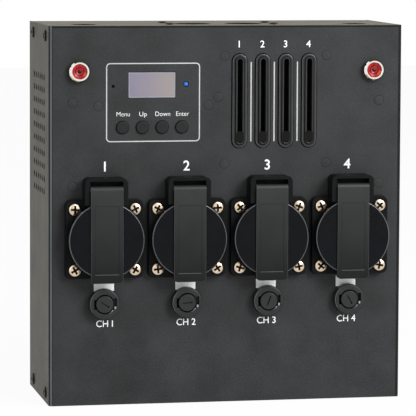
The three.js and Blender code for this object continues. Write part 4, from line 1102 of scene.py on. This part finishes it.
def make_fuse_cap():
    radius = CAP / 2
    profile = [(0, BEZEL_FRONT)] + round_edge(radius, BEZEL_FRONT, 0.5, -1, 1)
    seat = FUSE_ENDS[0] - GAP
    profile += [(radius, CAP_BACK), (2.9, CAP_BACK), (2.9, seat), (0, seat)]
    cap = turned(profile, 72)
    slot = slab(*COIN_SLOT, 0, BEZEL_FRONT - 1, BEZEL_FRONT + 1.6)
    cap = carve(cap, [slot])
    return carve(cap, [moved(rod(1.3, BEZEL_FRONT - 1, BEZEL_FRONT + 1.2, 20), 2.7)])


def make_fuse_ends():
    front, back = FUSE_ENDS
    ends = []
    radius = FUSE / 2
    steps = [(0, 0), (radius - 0.4, 0), (radius, 0.4), (radius, 4.6), (radius - 0.15, 5)]
    steps += [(radius - 0.3, 5), (0, 5)]
    for start, way in ((front, 1), (back, -1)):
        ends.append(turned([(across, start + way * along) for across, along in steps], 32))
    ends.append(rod(0.4, front + 4.8, back - 4.8, 8))
    return merged(ends)


fuse_holder = make_fuse_holder()
fuse_cap = make_fuse_cap()
fuse_ends = make_fuse_ends()
fuse_tube = ring(4.8, 3.8, FUSE_ENDS[0] + 1, FUSE_ENDS[1] - 1, 32)
fuse_nut = hexagon_nut(19, FUSE_BODY + 0.2, 1.5, 4.5)
fuse_tab_hole = moved(facing_up(rod(1.6, -3, 3, 16)), 0, 25.5)
fuse_tab = carve(slab(4.8, 0.8, 0.2, 20.2, 28.3, steps=2), [fuse_tab_hole])
fuse_leaf = block((6.2, BEZEL_FRONT + 0.7, -3.0), (7.3, BEZEL_FRONT + 4.3, -1.4))
fuse_tabs = merged([copied(fuse_tab, side * FUSE_BODY / 4) for side in SIDES] + [fuse_leaf])
for n, x in CHANNEL_X.items():
    place = {"x": x, "z": FUSE_Z}
    piece(f"fuse_bezel_{n}", fuse_holder, [bezel_plastic, spring_steel, nylon_painted_highlight],
          stands_for=[f"fuse_holder_{n}"], slot="moulded_nylon", **place)
    piece(f"fuse_nut_{n}", fuse_nut, bezel_plastic, slot="moulded_nylon", edge=0.4, **place)
    piece(f"fuse_tabs_{n}", fuse_tabs, spring_steel, slot="nickel_plated_screw", **place)
    angled = copied(fuse_cap, turn="Y", degrees=-CAP_TURNS[n])
    piece(f"coin_cap_{n}", angled, bezel_plastic, f"bayonet_{n}", [f"fuse_cap_{n}"],
          "moulded_nylon", **place)
    piece(f"fuse_tube_{n}", fuse_tube, fuse_glass, f"fuse_{n}", [f"glass_fuse_{n}"],
          "fuse_glass", **place)
    piece(f"fuse_ends_{n}", fuse_ends, silver_pin, f"fuse_{n}", slot="nickel_plated_screw", **place)

# Faders
SLOT_RADIUS = 1.6
LEVER = (2.6, 6.6)
GRIP_WIDTH = 4.4


def make_rim():
    """One stepped rim that stands through the panel, with its slot."""
    outer = RIM_WIDTH / 2 - 0.25
    levels = [(outer, 1.7), (outer, -0.8), (outer - 0.15, -1.1), (outer - 0.4, -1.2), (3.15, -1.2)]
    levels += [(3.1, -0.7), (2.75, -0.7), (2.7, -1.9), (2.45, -2.15), (1.95, -2.2), (1.65, -2.05)]
    levels += [(SLOT_RADIUS, -1.8), (SLOT_RADIUS, 1.7)]
    rim = pill_stack(RIM_STRAIGHT, levels, 48, through=True)
    # Painted shade on the outer flank and in the groove, and a painted highlight on the outer rounding
    for face in rim.faces:
        middle = face.calc_center_median()
        away = math.hypot(middle.x, max(abs(middle.z) - RIM_STRAIGHT / 2, 0))
        if away > outer - 0.02 or 2.7 < away < 3.14:
            face.material_index = 1
        elif away > outer - 0.4:
            face.material_index = 2
    return rim


def make_backing():
    middle = (FADER_X[1] + FADER_X[4]) / 2
    width = FADER_X[4] - FADER_X[1] + RIM_WIDTH + 2.4
    plate = moved(slab(width, RIM_LENGTH + 2.4, 1.2, 1.5, 3), middle)
    slot = pill_stack(RIM_STRAIGHT, [(SLOT_RADIUS, 0), (SLOT_RADIUS, 5)])
    return carve(plate, [copied(slot, x) for x in FADER_X.values()])


def make_lever():
    """A blade with a small grip over the slot, on the carriage of the slide potentiometer."""
    blade = slab(*LEVER, 0.8, -2.5, 4.6)
    grip = slab(GRIP_WIDTH, LEVER[1], 1.2, -2.9, -2.3)
    carriage = block((-2.8, 4.4, -4), (2.8, 9.7, 4))
    return joined(joined(blade, [grip]), [carriage])


rim = make_rim()
lever = make_lever()
piece("fader_backing", make_backing(), moulded_nylon, stands_for=["fader_surround"],
      slot="moulded_nylon", z=FADER_Z, edge=0.2)
for n, x in FADER_X.items():
    piece(f"fader_rim_{n}", rim, [bezel_plastic, black_and_painted_shade, nylon_painted_highlight], slot="moulded_nylon",
          x=x, z=FADER_Z)
    piece(f"fader_stub_{n}", lever, black_and_painted_shade, f"fader_{n}", [f"fader_lever_{n}"],
          "glossy_lid_plastic", x=x, z=middle_of(f"fader_lever_{n}").z, edge=0.2)

# Control board with display, keys, signal lamp and microphone
BOARD_FRONT = 7.3
BOARD = 1.6


def make_key():
    radius = KEY / 2 - 0.15
    profile = [(0, -1.15), (radius - 1.2, -1.2)] + round_edge(radius, -1.2, 0.5, -1, 1)
    profile += [(radius, 1.5), (5.2, 1.5), (5.2, 2.3), (1.7, 2.3), (1.7, 2.7), (0, 2.7)]
    return turned(profile, 64)


def make_switches():
    switches = []
    for place in KEY_PLACES.values():
        case = block((-3, 3.8, -3), (3, BOARD_FRONT + 0.1, 3))
        tip = rod(3.4, 3.0, 4, 24)
        switches.append(moved(joined(case, [tip]), place.x, 0, place.z))
    return merged(switches)


def make_signal_lamp():
    radius = 1.5
    angles = [step / 8 * math.pi / 2 for step in range(9)]
    profile = [(radius * math.sin(a), -0.5 + radius * (1 - math.cos(a))) for a in angles]
    profile += [(radius, 5.6), (1.8, 5.6), (1.8, 6.6), (0, 6.6)]
    return moved(turned(profile, 40), SIGNAL_PLACE[0], 0, SIGNAL_PLACE[1])


def make_microphone():
    profile = [(0, 2.0), (1.0, 2.0), (1.2, 1.6), (2.8, 1.6), (3.0, 1.8), (3.0, 7.3), (0, 7.3)]
    return moved(turned(profile, 40), MICROPHONE_PLACE[0], 0, MICROPHONE_PLACE[1])


board_low, board_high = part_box("control_board")
board_width = (board_high.x - board_low.x) / MM
board_middle = (board_high.x + board_low.x) / 2 / MM
board = moved(slab(board_width, 60, 1, BOARD_FRONT, BOARD_FRONT + BOARD), board_middle, 0, 188)
board = carve(board, [moved(rod(3.4, 0, 12, 20), -47 + side * 35, 0, 188) for side in SIDES])
piece("key_board", board, solder_mask, stands_for=["control_board"], slot="circuit_board", edge=0.15)
piece("key_switches", make_switches(), moulded_nylon, slot="circuit_board", edge=0.2)
piece("signal_diode", make_signal_lamp(), blue_lamp, slot="circuit_board")
piece("microphone_capsule", make_microphone(), rubber, slot="circuit_board")
key_shape = make_key()
for key, place in KEY_PLACES.items():
    piece(f"key_{key}", key_shape, key_plastic, f"{key}_key", [f"button_{key}"],
          "moulded_nylon", x=place.x, z=place.z)
SHOWN = (29.6, 15.7)
window = slab(*SHOWN, 0.3, 0.5, 1.7, steps=3)
piece("display_window", window, display_window, stands_for=["display"], slot="display_glass",
      x=DISPLAY_X, z=DISPLAY_Z)
border = even_frame(*SHOWN, 0.5, 0.4, 1.0, 0.3)
piece("display_border", border, border_film, slot="display_glass", x=DISPLAY_X, z=DISPLAY_Z)
module = slab(35, 21.1, 0.6, 1.5, 4.1, steps=3)
header = block((-10, 4.0, 5.15), (10, 7.0, 8.15))
piece("display_module", joined(module, [header]), moulded_nylon, slot="display_glass",
      x=DISPLAY_X, z=DISPLAY_Z, edge=0.2)

# Signal lamps
LAMP_RIM = 13.3
LAMP_FRONT = -4.3
LENS = 9.3


def make_lamp_bezel():
    rim_radius = LAMP_RIM / 2
    body = LAMP_BODY / 2
    seat = LENS / 2 + 0.1
    profile = [(seat, -1.1), (seat, LAMP_FRONT + 0.15), (seat + 0.15, LAMP_FRONT)]
    chamfer = 0.85
    profile += [(rim_radius - chamfer, LAMP_FRONT), (rim_radius - 0.05, LAMP_FRONT + chamfer)]
    profile += [(rim_radius, LAMP_FRONT + chamfer + 0.1), (rim_radius, -0.6)]
    profile += [(rim_radius - 0.3, -GAP), (body, -GAP)]
    profile += thread(body, 0.2, 10.8, 0.8, 0.3)
    profile += [(2.8, 11), (2.8, -1.1), (seat, -1.1)]
    bezel = turned(profile, 96)
    notches = []
    for quarter in range(4):
        notch = block((rim_radius - 0.45, LAMP_FRONT + 0.5, -0.5), (rim_radius + 1, -1.5, 0.5))
        notches.append(moved(notch, turn="Y", degrees=30 + 90 * quarter))
    made = carve(bezel, notches)
    # Painted reflection on the flank: smoky olive all round, but plain chrome from the upper left to the
    # left of the chamfer, and cream nickel from there to the bottom
    for face in made.faces:
        away, around, deep = polar(face)
        if away > rim_radius - chamfer and LAMP_FRONT < deep < -0.5:
            painted_lit = 125 < around < 270 and deep < LAMP_FRONT + chamfer
            face.material_index = (2 if around > 205 else 0) if painted_lit else 1
    return made


def make_lamp_lens():
    radius = LENS / 2
    profile = [(0, -2.6), (0.5, -2.55), (1.0, -2.3), (1.25, -2.3), (2.3, -2.8), (2.5, -2.75)]
    profile += [(2.9, -2.95), (3.7, -3.35), (4.0, -3.4), (4.4, -3.35), (radius, -3.1)]
    profile += [(radius, -1.4), (2.5, -1.4)]
    lens = turned(profile + [(2.5, 11), (0, 11)], 72)
    for face in lens.faces:
        # Painted shade in the grooves and the middle, and a painted orange glint at the lower right
        away, around, deep = polar(face)
        if deep < -1.5 and (away < 1.3 or 2.2 < away < 2.9):
            face.material_index = 1
        elif 2.9 < away < 4.3 and 310 < around < 352:
            face.material_index = 2
    return lens


lamp_bezel = make_lamp_bezel()
lamp_lens = make_lamp_lens()
lamp_nut = hexagon_nut(13, LAMP_BODY + 0.1, 1.5, 3.7)
for name, lamp in LAMP_PLACES.items():
    place = {"x": lamp.x, "z": lamp.z}
    # The nickel on the bezel's lower left is a painted cream reflection
    piece(f"lamp_rim_{name}", lamp_bezel, [chrome, chrome_painted_reflection, nickel],
          stands_for=[f"lamp_bezel_{name}"], slot="chrome_bezel", **place)
    piece(f"lamp_nut_{name}", lamp_nut, chrome, slot="chrome_bezel", edge=0.3, **place)
    piece(f"lamp_glass_{name}", lamp_lens, [red_lens, red_painted_shade, red_painted_glint],
          stands_for=[f"lamp_lens_{name}"], slot="red_lens", **place)

# Control sockets in the top wall
SOCKET_TOP = HEIGHT - 1.6
SOCKET_BASE = SOCKET_TOP - 25
SOCKET_FLOOR = SOCKET_TOP - 17
CONTACT_RADIUS = 4.2
CONTACT_ANGLES = [math.pi / 2 + i * math.tau / 3 for i in range(3)]
CONTACT_SPOTS = [(CONTACT_RADIUS * math.cos(a), CONTACT_RADIUS * math.sin(a)) for a in CONTACT_ANGLES]


def upright(profile, steps=64):
    """A profile of (radius, height) pairs spun about the Z axis."""
    return facing_up(turned([(radius, -height) for radius, height in profile], steps))


def make_control_cup():
    wall = CONTROL_SOCKET / 2
    recess = 9.7
    rim = SOCKET_TOP - 0.3
    profile = [(0, SOCKET_BASE), (wall, SOCKET_BASE), (wall, rim), (wall - 0.3, SOCKET_TOP)]
    profile += [(recess + 0.3, SOCKET_TOP), (recess, rim), (recess, SOCKET_FLOOR), (0, SOCKET_FLOOR)]
    return upright(profile)


def make_control_insert():
    top = SOCKET_TOP - 0.5
    insert = upright([(0, SOCKET_FLOOR), (7.5, SOCKET_FLOOR), (7.5, top - 0.4), (7.1, top), (0, top)])
    key = block((-1.5, -8.5, SOCKET_FLOOR), (1.5, -7.1, top))
    insert = joined(insert, [key])
    sleeves = [moved(facing_up(rod(2.5, -top - 1, -SOCKET_FLOOR, 20)), *spot) for spot in CONTACT_SPOTS]
    return carve(insert, sleeves)


def make_pins():
    profile = [(0, SOCKET_FLOOR), (1.25, SOCKET_FLOOR), (1.25, SOCKET_FLOOR + 13.2)]
    profile += [(0.9, SOCKET_FLOOR + 13.8), (0, SOCKET_FLOOR + 14)]
    return merged([moved(upright(profile, 24), *spot) for spot in CONTACT_SPOTS])


def tube(outer, inner, low, high, steps):
    """An upright tube of these radii."""
    return upright([(inner, low), (outer, low), (outer, high), (inner, high), (inner, low)], steps)


def make_sleeve_contacts():
    shape = tube(1.2, 0.8, SOCKET_FLOOR, SOCKET_TOP - 1.5, 20)
    return merged([copied(shape, *spot) for spot in CONTACT_SPOTS])


cup = make_control_cup()
for name, side in (("in", -1), ("out", 1)):
    piece(f"control_cup_{name}", cup, bezel_plastic, stands_for=[f"dmx_{name}_socket"],
          slot="moulded_nylon", x=side * CONTROL_SOCKET_X, y=CONTROL_SOCKET_Y)
piece("control_pins", make_pins(), silver_pin, slot="nickel_plated_screw",
      x=-CONTROL_SOCKET_X, y=CONTROL_SOCKET_Y)
piece("control_insert", make_control_insert(), bezel_plastic, slot="moulded_nylon",
      x=CONTROL_SOCKET_X, y=CONTROL_SOCKET_Y, edge=0.15)
piece("control_sleeves", make_sleeve_contacts(), silver_pin, slot="nickel_plated_screw",
      x=CONTROL_SOCKET_X, y=CONTROL_SOCKET_Y)
board_top = SOCKET_BASE - GAP
socket_board = block(
    (-38, CONTROL_SOCKET_Y - 17, board_top - BOARD), (38, CONTROL_SOCKET_Y + 17, board_top)
)
piece("control_socket_board", socket_board, solder_mask, stands_for=["dmx_board"],
      slot="circuit_board", edge=0.15)
spacer = tube(3, 1.6, board_top, HEIGHT - 1.8, 32)
spacers = [copied(spacer, x, y) for x, y in CONTROL_SCREWS]
piece("control_spacers", merged(spacers), spring_steel, slot="circuit_board")
small_screw = facing_up(pan_screw(5.6, 0.9, 2.8, 26))
small_screws = [copied(small_screw, x, y, HEIGHT + GAP) for x, y in CONTROL_SCREWS]
piece("control_screws", merged(small_screws), [black_zinc, black_and_painted_shade], slot="black_zinc_screw")

# Mains inlet under the dished bottom wall
INLET_RIM = (31, 24)
INLET_RECESS = (24, 17)
INLET_POLES = ((-7, 0), (7, 0), (0, 4))


def make_inlet():
    rim_plate = facing_down(slab(*INLET_RIM, 2, 0.5, 2.7))
    case = block((-13.5, -10, 2.6), (13.5, 10, 25))
    body = joined(rim_plate, [case])
    return carve(body, [facing_down(slab(*INLET_RECESS, 2.5, -1, 16.5))])


def make_blades():
    blades = []
    for x, y in INLET_POLES:
        blades.append(moved(block((-1, -2, 2.5), (1, 2, 16.6)), x, y))
        blades.append(moved(block((-2.4, -0.4, 24.9), (2.4, 0.4, 33)), x, y))
    return merged(blades)


piece("inlet_body", make_inlet(), bezel_plastic, stands_for=["mains_inlet"], slot="moulded_nylon",
      x=INLET_X, y=INLET_Y, edge=0.3)
piece("inlet_blades", make_blades(), silver_pin, slot="nickel_plated_screw",
      x=INLET_X, y=INLET_Y, edge=0.25)

# Inner boards and heat sink keep their shapes and get their finishes
FINISHES = {"fader_board": black_mask_painted_shade, "dimmer_board": solder_mask, "heat_sink": extruded_aluminium}
for node, finish in FINISHES.items():
    materials = bpy.data.objects[node].data.materials
    materials.clear()
    materials.append(finish)

# Prints on the panel
INK = 0.04
CAPITAL_SHARE = 0.682
PRINT_SPREAD = 0.99


def printed(name, words, height, x, z, weight, width=None):
    """A word in plain capitals height tall, its foot at z, centred on x."""
    curve = bpy.data.curves.new(name, "FONT")
    curve.body = words
    curve.size = height / CAPITAL_SHARE
    curve.align_x = "CENTER"
    curve.offset = weight * height
    curve.extrude = INK / 2
    holder = add_object(name + "_curve", curve)
    result = holder.evaluated_get(bpy.context.evaluated_depsgraph_get())
    mesh = bpy.data.meshes.new_from_object(result)
    bm = bmesh.new()
    bm.from_mesh(mesh)
    bpy.data.objects.remove(holder)
    bpy.data.curves.remove(curve)
    bpy.data.meshes.remove(mesh)
    if width:
        low = min(v.co.x for v in bm.verts)
        high = max(v.co.x for v in bm.verts)
        bmesh.ops.scale(bm, vec=(width / (high - low), 1, 1), verts=bm.verts)
    moved(bm, turn="X", degrees=90)
    piece(name, bm, white_ink, slot="powder_coated_steel", x=x, y=-INK / 2, z=z)


FADER_DIGIT = {"height": 4.15, "z": 224.2, "weight": 0.01}
CHANNEL_DIGIT = {"height": 6.0, "z": 147.2, "weight": 0.02}
LABEL = {"height": 4.0, "z": 49.4, "weight": 0.01}
LABEL_WIDTHS = {1: 10.6, 2: 12.2, 3: 12.2, 4: 12.2}
KEY_WORD = {"height": 2.8, "z": 181.5, "weight": -0.015}
KEY_WORDS = {"menu": ("Menu", 8.4), "up": ("Up", 4.7), "down": ("Down", 9.4), "enter": ("Enter", 8.2)}
flat = {"front": -INK, "back": 0.01}
PATCH = (12.8, 7)
PATCH_Z = 75.5
LINE = (0.75, 50.1)
DISPLAY_FRAME = (59.6, 49.4)
DISPLAY_FRAME_PLACE = {"x": -47.3, "z": 190.1}
patch = slab(*PATCH, 0.2, steps=2, **flat)
line = slab(*LINE, 0.1, steps=2, **flat)
for n in CHANNELS:
    digit = "I" if n == 1 else str(n)
    print_x = CHANNEL_X[n] * PRINT_SPREAD
    printed(f"print_fader_{n}", digit, x=FADER_X[n] - 0.3, **FADER_DIGIT)
    printed(f"print_channel_{n}", digit, x=print_x, **CHANNEL_DIGIT)
    printed(f"print_label_{n}", f"CH {digit}", x=print_x, width=LABEL_WIDTHS[n], **LABEL)
    piece(f"print_patch_{n}", patch, white_ink, slot="powder_coated_steel", x=print_x - 0.5, z=PATCH_Z)
for key, (word, width) in KEY_WORDS.items():
    printed(f"print_{key}", word, x=KEY_PLACES[key].x + 0.4, width=width, **KEY_WORD)
for n in (1, 2, 3):
    between = (FADER_X[n] + FADER_X[n + 1]) / 2
    piece(f"print_line_{n}", line, grey_ink, slot="powder_coated_steel", x=between, z=FADER_Z - 0.6)
piece("print_display_frame", even_frame(*DISPLAY_FRAME, 0.68, corner=2.6, **flat), grey_ink,
      slot="powder_coated_steel", **DISPLAY_FRAME_PLACE)

# Floor, light and surroundings
FLOOR_SIZE = 8.0
FLOOR_DROP = 0.0002
SKY_STRENGTH = 0.3
SEEN_SHARE = 0.95


def bright_rays(tree):
    """One where a ray comes from the camera, or by a mirror or clear surface."""
    rays = add(tree, "LightPath").outputs
    seen = rays["Is Camera Ray"]
    for kind in ("Is Glossy Ray", "Is Transmission Ray"):
        seen = add(tree, "Math", {0: seen, 1: rays[kind]}, operation="MAXIMUM").outputs[0]
    return seen


def add_floor():
    """A pale floor just under the pack, clear from below so that the pack's underside can be seen."""
    bm = bmesh.new()
    bmesh.ops.create_grid(bm, x_segments=1, y_segments=1, size=FLOOR_SIZE / 2)
    bmesh.ops.translate(bm, vec=(0, 0, -FLOOR_DROP), verts=bm.verts)
    floor = add_object("floor", mesh_from("floor", bm))
    material, tree, _ = new_material("pale_floor")
    diffuse = add(tree, "BsdfDiffuse", {"Color": linear("#f2f2f2")})
    glow = add(tree, "Emission", {"Color": (1, 1, 1, 1), "Strength": 1.0})
    share = add(tree, "Math", {0: bright_rays(tree), 1: SEEN_SHARE}, operation="MULTIPLY")
    mixed = add(tree, "MixShader", {0: share.outputs[0], 1: diffuse.outputs[0], 2: glow.outputs[0]})
    underside = add(tree, "NewGeometry").outputs["Backfacing"]
    clear = add(tree, "BsdfTransparent").outputs[0]
    seen = add(tree, "MixShader", {0: underside, 1: mixed.outputs[0], 2: clear})
    add(tree, "OutputMaterial", {"Surface": seen.outputs[0]})
    floor.data.materials.append(material)


def add_world():
    world = bpy.data.worlds.new("studio")
    bpy.context.scene.world = world
    world.use_nodes = True
    tree = world.node_tree
    tree.nodes.clear()
    dim = add(tree, "Background", {"Color": (1, 1, 1, 1), "Strength": SKY_STRENGTH})
    white = add(tree, "Background", {"Color": (1, 1, 1, 1), "Strength": 1.0})
    mixed = add(tree, "MixShader", {0: bright_rays(tree), 1: dim.outputs[0], 2: white.outputs[0]})
    add(tree, "OutputWorld", {"Surface": mixed.outputs[0]})


def add_light(name, place, aim, size, power):
    data = bpy.data.lights.new(name, "AREA")
    data.shape = "DISK"
    data.size = size
    data.energy = power
    light = add_object(name, data)
    light.location = place
    light.rotation_mode = "QUATERNION"
    light.rotation_quaternion = (Vector(aim) - Vector(place)).to_track_quat("-Z", "Y")


add_floor()
add_world()
add_light("key", (1.0, -1.35, 0.95), (0, 0, 0.14), 1.0, 34)
add_light("top", (0.4, -0.9, 1.5), (0, 0, 0.12), 1.0, 5)
add_light("fill", (-1.5, -1.0, 0.8), (0, 0, 0.12), 1.3, 6)
bpy.context.scene.view_settings.view_transform = "Standard"
